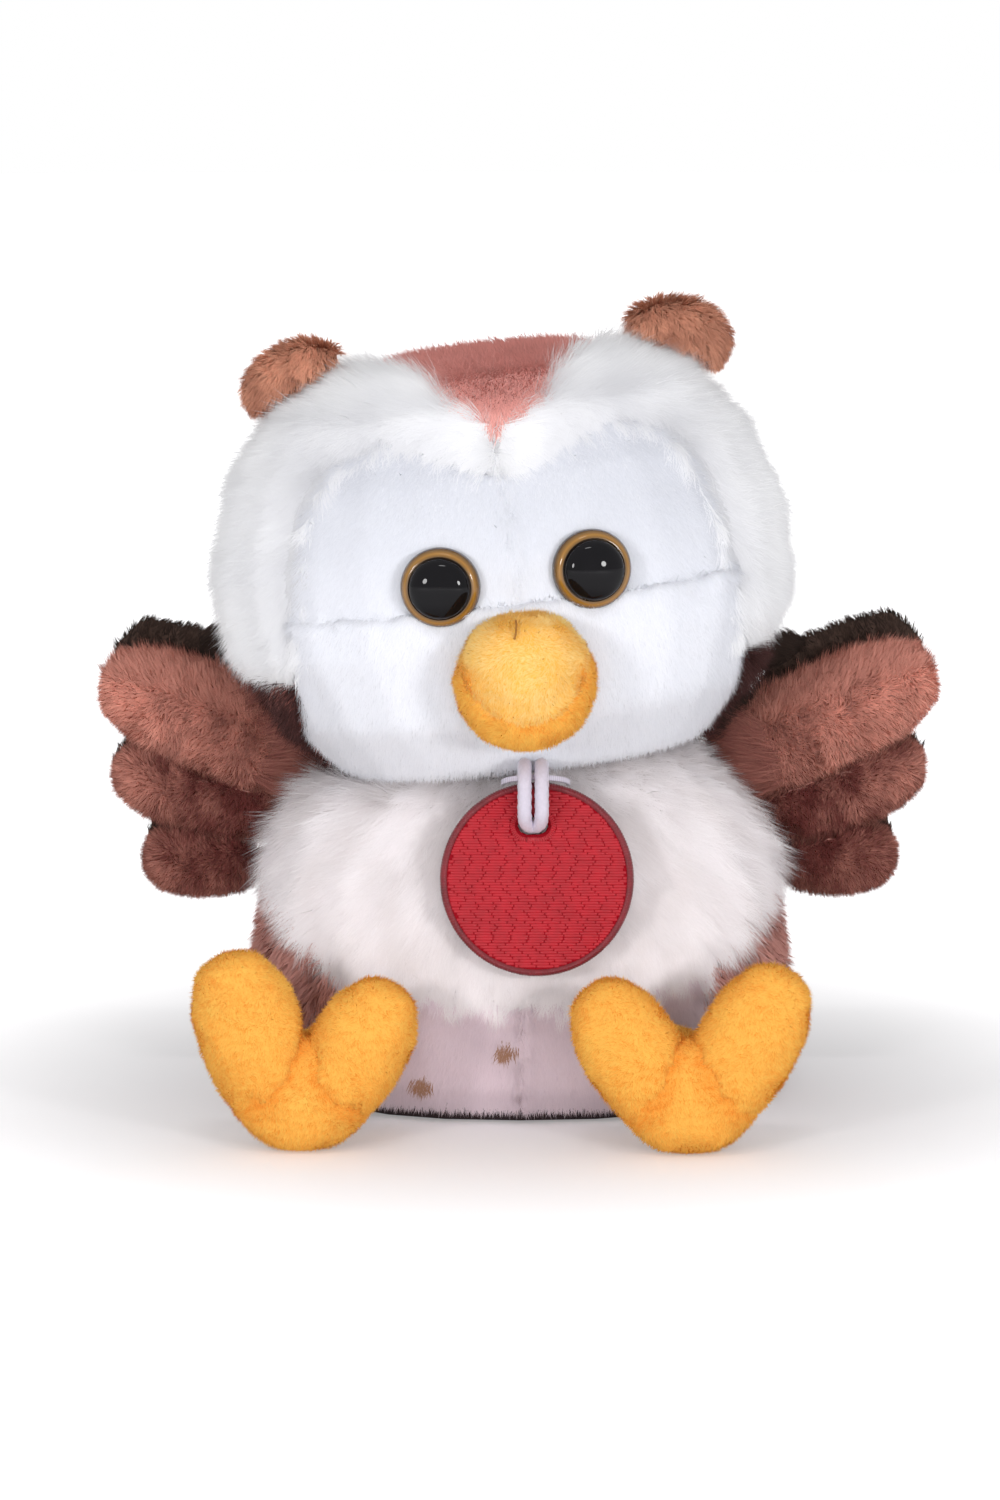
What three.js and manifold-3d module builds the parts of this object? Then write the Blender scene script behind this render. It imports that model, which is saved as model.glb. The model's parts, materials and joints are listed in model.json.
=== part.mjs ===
import * as THREE from "three";
import { mergeVertices } from "three/addons/utils/BufferGeometryUtils.js";
import Module from "manifold-3d";

// A seated plush owl, 150 mm tall, in millimetres. The origin is the middle of the flat base,
// the face looks along -Y, and left and right are as seen from the front.

const wasm = await Module();
wasm.setup();

// Clearances between sewn pieces, and how far a cut runs past what it cuts
const seamGap = 0.3;
const cutOverrun = 70;
const swingClearance = 2.8;

// Pile heights, each the thickness of its panel
const hoodPile = 6.5;
const crownPile = 5;
const headBackPile = 4;
const faceUpperPile = 2.2;
const faceLowerPile = 3.2;
const chestPile = 6;
const bellyPile = 2.6;
const backPile = 3.5;

// Body, a stuffed form on a flat base
const bodyHalfWidth = 47.8;
const bodyHalfDepth = 37;
const neckHeight = 66.2;
const bodyDome = 6.8;
const bodyHeight = neckHeight + bodyDome;
const bodySquareness = 2.3;
const bodyProfileShares = [
  [0.8, 0.77, 0],
  [0.915, 0.885, 0.05],
  [0.985, 0.965, 0.16],
  [1, 1, 0.36],
  [0.935, 0.965, 0.55],
  [0.835, 0.885, 0.71],
  [0.74, 0.785, 0.83],
  [0.56, 0.6, 0.93],
  [0, 0, 1],
];
const bodyRings = 9;
const bodySides = 20;
const basePanelThickness = 1.5;
const chestSideSeam = 4;

// Front of the body, half of its outline from the neck to the base, and the chest's lower edge
const frontSeamShares = [
  [1.25, 1.1],
  [1.25, 0.67],
  [1.02, 0.63],
  [0.83, 0.5],
  [0.74, 0.4],
  [0.74, 0.32],
  [0.85, 0.26],
  [0.91, 0.18],
  [0.91, -0.1],
];
const chestEdgeHeight = 23;
const chestEdgeRise = 9;
const chestEdgeSteps = 8;

// Pellet bag inside the base
const pelletBagHalfWidth = 27;
const pelletBagHalfDepth = 20;
const pelletBagHeight = 13;
const pelletBagRings = 6;
const pelletBagSides = 16;
const pelletBagProfileShares = [
  [0, 0, 0],
  [0.8, 0.8, 0.06],
  [1, 1, 0.45],
  [0.75, 0.75, 0.9],
  [0, 0, 1],
];

// Head, squarer above the eyes than below, on the plane of the neck seam
const headHalfWidth = 48;
const headHalfDepth = 38;
const headRise = 35.5;
const headDrop = 38;
const headSquareness = 2.3;
const headProfileShares = [
  [0, 0, -1],
  [0.46, 0.53, -0.955],
  [0.69, 0.79, -0.83],
  [0.83, 0.94, -0.63],
  [0.94, 1, -0.42],
  [1, 1, -0.16],
  [0.98, 0.975, 0.19],
  [0.885, 0.88, 0.54],
  [0.69, 0.68, 0.85],
  [0.38, 0.37, 0.98],
  [0, 0, 1],
];
const headRings = 11;
const headSides = 24;
const headAside = -3.4;
const headForward = 4;
const headRollDegrees = 6.5;
const headTurnDegrees = 4;
const neckDrop = 35;
const headHeight = neckHeight + neckDrop;

// Face outline, half of it, from the dip over the beak to below the chin
const faceHalfWidth = 41;
const faceBrow = 28;
const faceChin = 40;
const faceOutlineShares = [
  [0, 0.7],
  [0.2, 0.82],
  [0.36, 0.95],
  [0.53, 1],
  [0.74, 0.88],
  [0.9, 0.6],
  [0.985, 0.1],
  [1, -0.2],
  [1, -0.5],
  [0.97, -0.8],
  [0.85, -1.1],
  [0.45, -1.3],
  [0, -1.35],
];
const faceOutlineSteps = 13;
const faceSeamDrop = 4;
const faceBack = 2;

// Hood, crown and back of the head
const hoodBack = 12;
const hoodDrop = { left: 15, right: 19 };
const crownPoint = 32.5;
const crownShoulder = 25;
const crownShoulderReach = { left: 7.2, right: 9.5 };
const crownReach = { left: 20, right: 25 };
const crownBase = 6;

// Ear tufts
const earSpread = { left: 34, right: 37 };
const earRise = 38;
const earHalfLength = 11;
const earHalfHeight = 8;
const earHalfThickness = 5.5;
const earLeanDegrees = 17;
const earProfileShares = [
  [0, 0, -1],
  [0.6, 0.6, -0.82],
  [0.95, 0.95, -0.4],
  [1, 1, 0.1],
  [0.75, 0.75, 0.75],
  [0, 0, 1],
];
const earRings = 6;
const earSides = 10;

// Safety eyes, pressed a little into the pile
const eyeDiameter = 14.5;
const eyeRim = 1.1;
const eyeBezel = 3;
const eyeSink = 1;
const eyeSpread = 13.7;
const eyeRise = 1.4;
const eyeTurnDegrees = 9;
const pupilDiameter = 11;
const pupilSeat = 1.6;
const pupilWall = 1.3;
const pupilDome = 2.4;
const stemDiameter = 4;
const stemLength = 11;
const washerDiameter = 12;
const washerThickness = 1.2;
const washerDepth = 2.6;
const eyeSides = 24;
const domeSteps = 4;

// Beak, a bulge over a lower lip
const beakHalfWidth = 12.4;
const beakHalfHeight = 11.8;
const beakAside = -0.8;
const lipSpreadShare = 1.08;
const lipDropShare = 1.12;
const beakDrop = 15.8;
const beakHalfDepth = 12.5;
const beakForward = 4.5;
const lipHalfDepth = 10.5;
const lipForward = 3;
const beakUpperProfileShares = [
  [0, 0, -0.64],
  [0.42, 0.62, -0.56],
  [0.7, 0.86, -0.34],
  [0.84, 1, -0.05],
  [0.92, 0.98, 0.3],
  [0.8, 0.84, 0.7],
  [0.45, 0.5, 0.94],
  [0, 0, 1],
];
const beakLowerProfileShares = [
  [0, 0, -1],
  [0.52, 0.6, -0.9],
  [0.86, 0.9, -0.55],
  [1, 1, -0.1],
  [0.96, 0.9, 0.25],
  [0.7, 0.6, 0.5],
  [0, 0, 0.6],
];
const beakRings = 7;
const beakSides = 13;

// Wings, each lobe on the hinge line of the side seam
const wingHeight = 52;
const wingBack = 6;
const wingTiltDegrees = 21.8;
const wingRootRadius = 5;
const wingRootShare = 0.9;
const wingRootSides = 16;
const wingRootEase = 0.4;
const wingSeamRise = 4;
const wingSeamDrop = 12;
const wingSeamSteps = 16;
const wingLength = 37;
const wingLobeHalfHeight = 10;
const wingLobeHalfThickness = 7.2;
const wingLobeShares = [
  { name: "upper", rootShare: 1.2, turnDegrees: 4, lengthShare: 1, heightShare: 1, depthShare: 1 },
  { name: "middle", rootShare: 0.1, turnDegrees: -4, lengthShare: 0.8, heightShare: 0.88, depthShare: 0.83 },
  { name: "lower", rootShare: -0.9, turnDegrees: -22, lengthShare: 0.51, heightShare: 0.8, depthShare: 0.83 },
];
const wingLiftDegrees = { left: -1.5, right: 1.5 };
const lobeProfileShares = [
  [1, 1, 0.35],
  [0.94, 1, 0.62],
  [0.76, 0.85, 0.84],
  [0.45, 0.55, 0.96],
  [0, 0, 1],
];
const lobeRings = 7;
const lobeSides = 9;
const liningDepth = 3;
const liningThickness = 4.4;
const liningBevel = 1.2;
const liningShow = 5;
const liningMargin = 1;
const liningSteps = 5;

// Legs and feet, which stand on their heels with the toes up
const legRadius = 8.5;
const legHeight = 12.5;
const legLength = 4.5;
const legSettle = 0.85;
const legSpread = { left: 33, right: 27 };
const footSpread = { left: 39.6, right: 30.3 };
const footHalfThickness = 8;
const heelHalfWidth = 12.3;
const heelHalfHeight = 10.5;
const heelFlat = 0.5;
const heelSquareness = 2.2;
const toeForward = 1.2;
const toeRootSpread = 4.5;
const toeRootHeight = 9;
const toeLength = 33.7;
const toeHalfWidth = 9.5;
const toeShares = [
  { foot: "left", name: "outer", lengthShare: 1.03, leanDegrees: 19.3, widthShare: 1.07 },
  { foot: "left", name: "inner", lengthShare: 0.9, leanDegrees: 30, widthShare: 0.98 },
  { foot: "right", name: "outer", lengthShare: 1, leanDegrees: 28, widthShare: 1 },
  { foot: "right", name: "inner", lengthShare: 0.92, leanDegrees: 31, widthShare: 0.98 },
];
const limbProfileShares = [
  [0, 0, -1],
  [0.62, 0.62, -0.84],
  [0.95, 0.95, -0.4],
  [1, 1, 0.1],
  [0.92, 0.92, 0.5],
  [0.6, 0.6, 0.86],
  [0, 0, 1],
];
const limbRings = 6;
const limbSides = 11;

// Tag, a disc on a doubled cord that hangs over a ribbon stitched into the neck seam
const tagRadius = 17.2;
const tagThickness = 2.2;
const tagBevel = 0.4;
const tagAside = 2.9;
const tagHeight = 47.8;
const tagForward = 42.4;
const tagTiltDegrees = 8;
const slotHalfWidth = 3.2;
const slotHalfHeight = 2;
const slotRise = 9.7;
const slotAside = -0.7;
const tagSides = 40;
const slotSteps = 5;
const tagCordDiameter = 2.7;
const tagCordSides = 8;
const tagCordSteps = 40;
const cordSpread = 1.55;
const tagCordHalfPoints = [
  [1, -36, 63.9],
  [1, -37.8, 65.7],
  [1, -39.4, 67.75],
  [1, -41.3, 68.6],
  [1, -43.1, 67.8],
  [1, -44.4, 66],
  [1, -44.9, 63],
  [1, -44.6, 60.2],
  [0.8, -43, 58.2],
];
const tagCordTurn = [0, -41, 57.2];
const ribbonHalfSpan = 6;
const ribbonReach = 6;
const ribbonThickness = 0.7;
const ribbonWidth = 1;
const ribbonTiltDegrees = 19;
const ribbonAside = 2.7;
const ribbonForward = 35.2;
const ribbonDrop = 1.9;
const ribbonSteps = 12;

const sides = { left: -1, right: 1 };
const across = new THREE.Vector3(1, 0, 0);
const back = new THREE.Vector3(0, 1, 0);
const up = new THREE.Vector3(0, 0, 1);
const radians = THREE.MathUtils.degToRad;

// Colours of the fabrics and plastics
const material = (color, roughness) => new THREE.MeshStandardMaterial({ color, roughness, metalness: 0 });
const longWhite = material(0xf3f0ea, 1);
const shortWhite = material(0xe6e9f2, 1);
const brownPlush = material(0x9c6a62, 1);
const darkPlush = material(0x2f2823, 1);
const tuftPlush = material(0xa9623f, 1);
const yellowVelour = material(0xf2a52c, 0.95);
const amberPlastic = material(0xa9701c, 0.3);
const blackPlastic = material(0x08080a, 0.08);
const washerPlastic = material(0xe8e8e4, 0.5);
const fibreFill = material(0xf4f4f2, 1);
const pelletCloth = material(0xdcd8cc, 1);
const redStitching = material(0xc4122a, 0.75);
const whiteCord = material(0xf2f0f4, 0.8);

// Solids and the cuts between them
function solidOf(geometry) {
  const bare = geometry.clone();
  bare.deleteAttribute("normal");
  bare.deleteAttribute("uv");
  const merged = mergeVertices(bare);
  return new wasm.Manifold(
    new wasm.Mesh({
      numProp: 3,
      vertProperties: Float32Array.from(merged.attributes.position.array),
      triVerts: Uint32Array.from(merged.index.array),
    }),
  );
}

function geometryOf(solid) {
  const { vertProperties, triVerts } = solid.getMesh();
  const geometry = new THREE.BufferGeometry();
  geometry.setAttribute("position", new THREE.BufferAttribute(vertProperties, 3));
  geometry.setIndex(new THREE.BufferAttribute(triVerts, 1));
  geometry.computeVertexNormals();
  return geometry;
}

// A box between two corners, where a missing side runs on past the work
function blockBox(ends) {
  const { left, right, front, rear, low, high } = {
    left: -cutOverrun,
    right: cutOverrun,
    front: -cutOverrun,
    rear: cutOverrun,
    low: -cutOverrun,
    high: cutOverrun,
    ...ends,
  };
  const box = new THREE.BoxGeometry(right - left, rear - front, high - low);
  return box.translate((left + right) / 2, (front + rear) / 2, (low + high) / 2);
}

function blockSolid(ends) {
  return solidOf(blockBox(ends));
}

// A geometry of one group, seen from another
function carried(geometry, from, to) {
  from.updateWorldMatrix(true, false);
  to.updateWorldMatrix(true, false);
  const matrix = to.matrixWorld.clone().invert().multiply(from.matrixWorld);
  return geometry.clone().applyMatrix4(matrix);
}

// A ring of points on a squared ellipse in the plane of two unit vectors
function squaredRing(centre, acrossAxis, throughAxis, halfAcross, halfThrough, squareness, count) {
  const swollen = (value) => Math.sign(value) * Math.abs(value) ** (2 / squareness);
  return Array.from({ length: count }, (_, side) => {
    const angle = (2 * Math.PI * side) / count;
    return centre
      .clone()
      .addScaledVector(acrossAxis, halfAcross * swollen(Math.cos(angle)))
      .addScaledVector(throughAxis, halfThrough * swollen(Math.sin(angle)));
  });
}

// A closed skin over rings of points, with a pole at each end
function loftGeometry(firstPole, rings, lastPole) {
  const count = rings[0].length;
  const points = [firstPole, ...rings.flat(), lastPole];
  const at = (ring, side) => 1 + ring * count + (side % count);
  const index = [];
  for (let side = 0; side < count; side += 1) {
    index.push(0, at(0, side + 1), at(0, side));
    for (let ring = 0; ring + 1 < rings.length; ring += 1) {
      index.push(at(ring, side), at(ring, side + 1), at(ring + 1, side + 1));
      index.push(at(ring, side), at(ring + 1, side + 1), at(ring + 1, side));
    }
    index.push(points.length - 1, at(rings.length - 1, side), at(rings.length - 1, side + 1));
  }
  const geometry = new THREE.BufferGeometry().setFromPoints(points);
  geometry.setIndex(index);
  return geometry;
}

// Profile points (half across, half through, station) from shares of the sizes that they follow
function sizedProfile(shares, { halfAcross, halfThrough, rise, drop }, grow = 0) {
  return shares.map(([acrossShare, throughShare, stationShare]) => {
    const reach = stationShare < 0 ? drop + grow : rise + grow;
    const side = acrossShare * (halfAcross + grow);
    return new THREE.Vector3(side, throughShare * (halfThrough + grow), stationShare * reach);
  });
}

// A stuffed form: its profile swept along an axis, smooth between the profile's points
function stuffedForm(form) {
  const { profile, rings, count } = form;
  const { squareness = 2, origin = new THREE.Vector3(), axis = up, through = back } = form;
  const acrossAxis = new THREE.Vector3().crossVectors(through, axis);
  const curve = new THREE.CatmullRomCurve3(profile, false, "centripetal");
  const stations = curve.getSpacedPoints(rings);
  const place = (station) => origin.clone().addScaledVector(axis, station);
  const open = stations.filter((station, step) => {
    const pole = step === 0 || step === rings;
    return !(pole && station.x === 0);
  });
  const ringPoints = open.map((station) =>
    squaredRing(place(station.z), acrossAxis, through, station.x, station.y, squareness, count),
  );
  return loftGeometry(place(stations[0].z), ringPoints, place(stations[rings].z));
}

const bodySizes = { halfAcross: bodyHalfWidth, halfThrough: bodyHalfDepth, rise: bodyHeight, drop: 0 };
const headSizes = { halfAcross: headHalfWidth, halfThrough: headHalfDepth, rise: headRise, drop: headDrop };

function bodyForm(grow = 0) {
  const profile = sizedProfile(bodyProfileShares, bodySizes, grow);
  return stuffedForm({ profile, rings: bodyRings, count: bodySides, squareness: bodySquareness });
}

function headForm(grow = 0) {
  const profile = sizedProfile(headProfileShares, headSizes, grow);
  return stuffedForm({ profile, rings: headRings, count: headSides, squareness: headSquareness });
}

// Half width and half depth of a form at one height
function spanAt(shares, sizes, grow, height) {
  const curve = new THREE.CatmullRomCurve3(sizedProfile(shares, sizes, grow), false, "centripetal");
  const stations = curve.getSpacedPoints(200);
  const upper = stations.findIndex((station) => station.z >= height);
  const after = stations[Math.max(upper, 1)];
  const before = stations[Math.max(upper, 1) - 1];
  const part = THREE.MathUtils.clamp((height - before.z) / (after.z - before.z), 0, 1);
  return before.clone().lerp(after, part);
}

// How far in front of the axis a form's surface lies, at a height and a distance aside
function frontAt(shares, sizes, grow, squareness, height, aside) {
  const span = spanAt(shares, sizes, grow, height);
  const left = 1 - Math.min(1, Math.abs(aside) / span.x) ** squareness;
  return span.y * left ** (1 / squareness);
}

// How far in front of the axis a ball rests against the body's front
function restingFront(height, aside, radius, grow) {
  let furthest = 0;
  const steps = 8;
  for (let rise = -steps; rise <= steps; rise += 1) {
    for (let side = -steps; side <= steps; side += 1) {
      const offset = Math.hypot(rise, side) / steps;
      if (offset <= 1) {
        const level = Math.max(0, height + (radius * rise) / steps);
        const surface = frontAt(
          bodyProfileShares, bodySizes, grow, bodySquareness, level, aside + (radius * side) / steps,
        );
        furthest = Math.max(furthest, surface + radius * Math.sqrt(1 - offset ** 2));
      }
    }
  }
  return furthest;
}

// A smooth outline through half of its points, mirrored
function mirroredOutline(halfPoints, steps) {
  const half = new THREE.SplineCurve(halfPoints).getSpacedPoints(steps);
  const other = half.slice(1, -1).map((point) => new THREE.Vector2(-point.x, point.y));
  return [...half, ...other.reverse()];
}

// An outline moved outwards, square to its edges
function grownOutline(points, distance) {
  const turning = THREE.ShapeUtils.isClockWise(points) ? -1 : 1;
  return points.map((point, index) => {
    const before = points[(index + points.length - 1) % points.length];
    const after = points[(index + 1) % points.length];
    const along = after.clone().sub(before).normalize();
    return point.clone().add(new THREE.Vector2(along.y, -along.x).multiplyScalar(turning * distance));
  });
}

// A prism on an outline, rising along Z
function prism(points, height) {
  return new THREE.ExtrudeGeometry(new THREE.Shape(points), { depth: height, bevelEnabled: false });
}

// A prism on an outline drawn in X and Z, running forwards from a place along Y
function frontPrism(points, rear) {
  return solidOf(prism(points, cutOverrun).rotateX(Math.PI / 2).translate(0, rear, 0));
}

// The model's groups
const owl = new THREE.Group();
const head = new THREE.Group();
head.position.set(headAside, -headForward, headHeight);
head.rotation.y = -radians(headRollDegrees);
const headTurn = new THREE.Group();
headTurn.rotation.z = radians(headTurnDegrees);
head.add(headTurn);
owl.add(head);

function addPiece(group, name, pieceMaterial, solid) {
  const mesh = new THREE.Mesh(geometryOf(solid), pieceMaterial);
  mesh.name = name;
  group.add(mesh);
  return mesh;
}

// Body: stuffing with a pocket for the pellet bag, and the panels sewn round it
const neckFloor = blockSolid({ low: -neckDrop });
const neckSky = solidOf(carried(blockBox({ low: -neckDrop - seamGap }), head, owl));
const panelFloor = basePanelThickness + seamGap;

function pelletForm(grow) {
  const sizes = {
    halfAcross: pelletBagHalfWidth,
    halfThrough: pelletBagHalfDepth,
    rise: pelletBagHeight + grow,
    drop: 0,
  };
  return stuffedForm({
    profile: sizedProfile(pelletBagProfileShares, sizes, grow),
    rings: pelletBagRings,
    count: pelletBagSides,
    origin: new THREE.Vector3(0, 0, panelFloor + seamGap - grow),
  });
}

function addBody() {
  const aboveBase = blockSolid({ low: panelFloor, high: bodyHeight + cutOverrun });
  const bodySolid = (grow) => solidOf(bodyForm(grow)).intersect(aboveBase).subtract(neckSky);
  const bagRadius = pelletBagHalfWidth;
  const mouth = new THREE.CylinderGeometry(bagRadius, bagRadius, panelFloor, pelletBagSides);
  mouth.rotateX(Math.PI / 2).scale(1, pelletBagHalfDepth / pelletBagHalfWidth, 1).translate(0, 0, panelFloor);
  const pocket = solidOf(pelletForm(seamGap)).add(solidOf(mouth));
  addPiece(owl, "body_stuffing", fibreFill, bodySolid(0).subtract(pocket));
  addPiece(owl, "pellet_bag", pelletCloth, solidOf(pelletForm(0)));
  const baseZone = blockSolid({ low: 0, high: basePanelThickness });
  addPiece(owl, "base_panel", shortWhite, solidOf(bodyForm(bellyPile)).intersect(baseZone));

  const inner = solidOf(bodyForm(seamGap));
  const halfSeam = frontSeamShares.map(
    ([side, rise]) => new THREE.Vector2(side * bodyHalfWidth, rise * bodyHeight),
  );
  const seam = [...halfSeam, ...halfSeam.map((point) => new THREE.Vector2(-point.x, point.y)).reverse()];
  const front = frontPrism(seam, chestSideSeam);
  const frontGrown = frontPrism(grownOutline(seam, seamGap), chestSideSeam + seamGap);

  // The chest's lower edge hangs in a curve, lowest in the middle
  const edge = Array.from({ length: chestEdgeSteps + 1 }, (_, step) => {
    const aside = ((2 * step) / chestEdgeSteps - 1) * cutOverrun;
    return new THREE.Vector2(aside, chestEdgeHeight + chestEdgeRise * (aside / bodyHalfWidth) ** 2);
  });
  const sky = [new THREE.Vector2(cutOverrun, 2 * cutOverrun), new THREE.Vector2(-cutOverrun, 2 * cutOverrun)];
  const chestOutline = [...edge, ...sky];
  const dropped = chestOutline.map((point) => new THREE.Vector2(point.x, point.y - seamGap));
  const chestZone = frontPrism(chestOutline, chestSideSeam);
  const chestZoneGrown = frontPrism(dropped, chestSideSeam + seamGap);

  const chest = bodySolid(chestPile).intersect(front).intersect(chestZone).subtract(inner);
  const wingRoots = wingRootRoom("left").add(wingRootRoom("right"));
  addPiece(owl, "chest_panel", longWhite, chest.subtract(wingRoots));
  const belly = bodySolid(bellyPile).intersect(front).subtract(chestZoneGrown).subtract(inner);
  const rear = bodySolid(backPile).subtract(frontGrown).subtract(inner);
  const rightHalf = blockSolid({ left: -seamGap / 2, high: 2 * bodyHeight });
  const leftHalf = blockSolid({ right: seamGap / 2, high: 2 * bodyHeight });
  addPiece(owl, "belly_left", shortWhite, belly.subtract(rightHalf));
  addPiece(owl, "belly_right", shortWhite, belly.subtract(leftHalf));
  addPiece(owl, "body_back_left", brownPlush, rear.subtract(rightHalf));
  addPiece(owl, "body_back_right", brownPlush, rear.subtract(leftHalf));
}

// Eyes: an iris with its stem, a pupil dome in its seat and a washer behind the fabric
function eyeProfile() {
  const radius = eyeDiameter / 2;
  const seat = pupilDiameter / 2 + seamGap;
  return [
    [0, -stemLength],
    [stemDiameter / 2, -stemLength],
    [stemDiameter / 2, 0],
    [radius, 0],
    [radius, eyeRim],
    [(radius + seat) / 2, (eyeRim + eyeBezel) / 2 + seamGap],
    [seat, eyeBezel],
    [seat, pupilSeat],
    [0, pupilSeat],
  ].map(([x, y]) => new THREE.Vector2(x, y));
}

function eyeRoomProfile() {
  const radius = eyeDiameter / 2 + seamGap;
  const stem = stemDiameter / 2 + seamGap;
  return [
    [0, -stemLength - seamGap],
    [stem, -stemLength - seamGap],
    [stem, -seamGap],
    [radius, -seamGap],
    [radius, eyeDiameter],
    [0, eyeDiameter],
  ].map(([x, y]) => new THREE.Vector2(x, y));
}

function pupilProfile() {
  const radius = pupilDiameter / 2;
  const floor = pupilSeat + seamGap;
  const dome = Array.from({ length: domeSteps + 1 }, (_, step) => {
    const angle = (step / domeSteps) * (Math.PI / 2);
    return new THREE.Vector2(radius * Math.cos(angle), floor + pupilWall + pupilDome * Math.sin(angle));
  });
  dome[domeSteps].x = 0;
  return [new THREE.Vector2(0, floor), new THREE.Vector2(radius, floor), ...dome];
}

function washerProfile(grow) {
  const bore = grow ? 0 : stemDiameter / 2 + seamGap;
  const radius = washerDiameter / 2 + grow;
  const front = -washerDepth + (grow ? cutOverrun / 10 : 0);
  const rear = -washerDepth - washerThickness - grow;
  return [[bore, rear], [radius, rear], [radius, front], [bore, front], ...(grow ? [] : [[bore, rear]])].map(
    ([x, y]) => new THREE.Vector2(x, y),
  );
}

const eyeSockets = {};
for (const [side, sign] of Object.entries(sides)) {
  const depth = frontAt(headProfileShares, headSizes, faceUpperPile, headSquareness, eyeRise, eyeSpread);
  const socket = new THREE.Group();
  socket.position.set(sign * eyeSpread, -(depth - eyeSink), eyeRise);
  socket.rotation.z = Math.PI + sign * radians(eyeTurnDegrees);
  headTurn.add(socket);
  eyeSockets[side] = socket;
}

function addEye(side) {
  const socket = eyeSockets[side];
  addPiece(socket, `eye_${side}`, amberPlastic, solidOf(new THREE.LatheGeometry(eyeProfile(), eyeSides)));
  const dome = new THREE.LatheGeometry(pupilProfile(), eyeSides);
  const washer = new THREE.LatheGeometry(washerProfile(0), eyeSides);
  addPiece(socket, `eye_${side}_pupil`, blackPlastic, solidOf(dome));
  addPiece(socket, `eye_${side}_washer`, washerPlastic, solidOf(washer));
}

function eyeRoom(side) {
  const room = new THREE.LatheGeometry(eyeRoomProfile(), eyeSides);
  return solidOf(carried(room, eyeSockets[side], headTurn));
}

function washerRoom(side) {
  const room = new THREE.LatheGeometry(washerProfile(seamGap), eyeSides);
  return solidOf(carried(room, eyeSockets[side], headTurn));
}

// Head: stuffing, face panels, hood, crown and back
function addHead() {
  const eyeCut = eyeRoom("left").add(eyeRoom("right"));
  const headSolid = (grow) => solidOf(headForm(grow)).intersect(neckFloor);
  const washerCut = washerRoom("left").add(washerRoom("right"));
  addPiece(headTurn, "head_stuffing", fibreFill, headSolid(0).subtract(eyeCut).subtract(washerCut));

  const inner = solidOf(headForm(seamGap));
  const halfFace = faceOutlineShares.map(
    ([side, rise]) => new THREE.Vector2(side * faceHalfWidth, rise * (rise > 0 ? faceBrow : faceChin)),
  );
  const outline = mirroredOutline(halfFace, faceOutlineSteps);
  const face = frontPrism(outline, -faceBack);
  const faceGrown = frontPrism(grownOutline(outline, seamGap), -faceBack + seamGap);
  const upperZone = blockSolid({ low: -faceSeamDrop + seamGap / 2 });
  const lowerZone = blockSolid({ high: -faceSeamDrop - seamGap / 2 });
  const leftZone = blockSolid({ right: -seamGap / 2 });
  const rightZone = blockSolid({ left: seamGap / 2 });

  const faceSolid = (pile) => headSolid(pile).intersect(face).subtract(inner).subtract(eyeCut);
  const upper = faceSolid(faceUpperPile).intersect(upperZone);
  addPiece(headTurn, "face_upper_left", shortWhite, upper.intersect(leftZone));
  addPiece(headTurn, "face_upper_right", shortWhite, upper.intersect(rightZone));
  addPiece(headTurn, "face_lower", shortWhite, faceSolid(faceLowerPile).intersect(lowerZone));

  const wedge = (grow) => [
    new THREE.Vector2(0, -crownPoint - 3 * grow),
    new THREE.Vector2(crownShoulderReach.right + grow, -crownShoulder - grow),
    new THREE.Vector2(crownReach.right + grow, hoodBack + grow),
    new THREE.Vector2(-crownReach.left - grow, hoodBack + grow),
    new THREE.Vector2(-crownShoulderReach.left - grow, -crownShoulder - grow),
  ];
  const crownZone = solidOf(prism(wedge(0), cutOverrun).translate(0, 0, crownBase));
  const crownZoneGrown = solidOf(prism(wedge(seamGap), cutOverrun).translate(0, 0, crownBase - seamGap));
  const crown = headSolid(crownPile).intersect(crownZone).subtract(inner).subtract(faceGrown);
  addPiece(headTurn, "crown_panel", brownPlush, crown);

  const hood = headSolid(hoodPile).subtract(crownZoneGrown).subtract(faceGrown).subtract(inner);
  const rear = headSolid(headBackPile).subtract(faceGrown).subtract(inner);
  for (const [side, half] of [["left", leftZone], ["right", rightZone]]) {
    const hoodZone = blockSolid({ rear: hoodBack, low: -hoodDrop[side] });
    const hoodZoneGrown = blockSolid({ rear: hoodBack + seamGap, low: -hoodDrop[side] - seamGap });
    addPiece(headTurn, `hood_${side}`, longWhite, hood.intersect(hoodZone).intersect(half));
    addPiece(headTurn, `head_back_${side}`, brownPlush, rear.subtract(hoodZoneGrown).intersect(half));
  }
}

function addBeak() {
  const sizes = { halfAcross: beakHalfWidth, rise: beakHalfHeight, drop: beakHalfHeight };
  const lipSizes = {
    halfAcross: lipSpreadShare * beakHalfWidth,
    rise: beakHalfHeight,
    drop: lipDropShare * beakHalfHeight,
  };
  const face = frontAt(headProfileShares, headSizes, faceLowerPile, headSquareness, -beakDrop, 0);
  const ball = (shares, reach, halfThrough, forward, grow) =>
    solidOf(
      stuffedForm({
        profile: sizedProfile(shares, { ...reach, halfThrough }, grow),
        rings: beakRings,
        count: beakSides,
        origin: new THREE.Vector3(beakAside, -(face + forward), -beakDrop),
      }),
    );
  const faceRoom = solidOf(headForm(faceLowerPile + seamGap));
  const upper = ball(beakUpperProfileShares, sizes, beakHalfDepth, beakForward, 0);
  const upperRoom = ball(beakUpperProfileShares, sizes, beakHalfDepth, beakForward, seamGap);
  addPiece(headTurn, "beak_upper", yellowVelour, upper.subtract(faceRoom));
  const lip = ball(beakLowerProfileShares, lipSizes, lipHalfDepth, lipForward, 0);
  addPiece(headTurn, "beak_lower", yellowVelour, lip.subtract(upperRoom).subtract(faceRoom));
}

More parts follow.
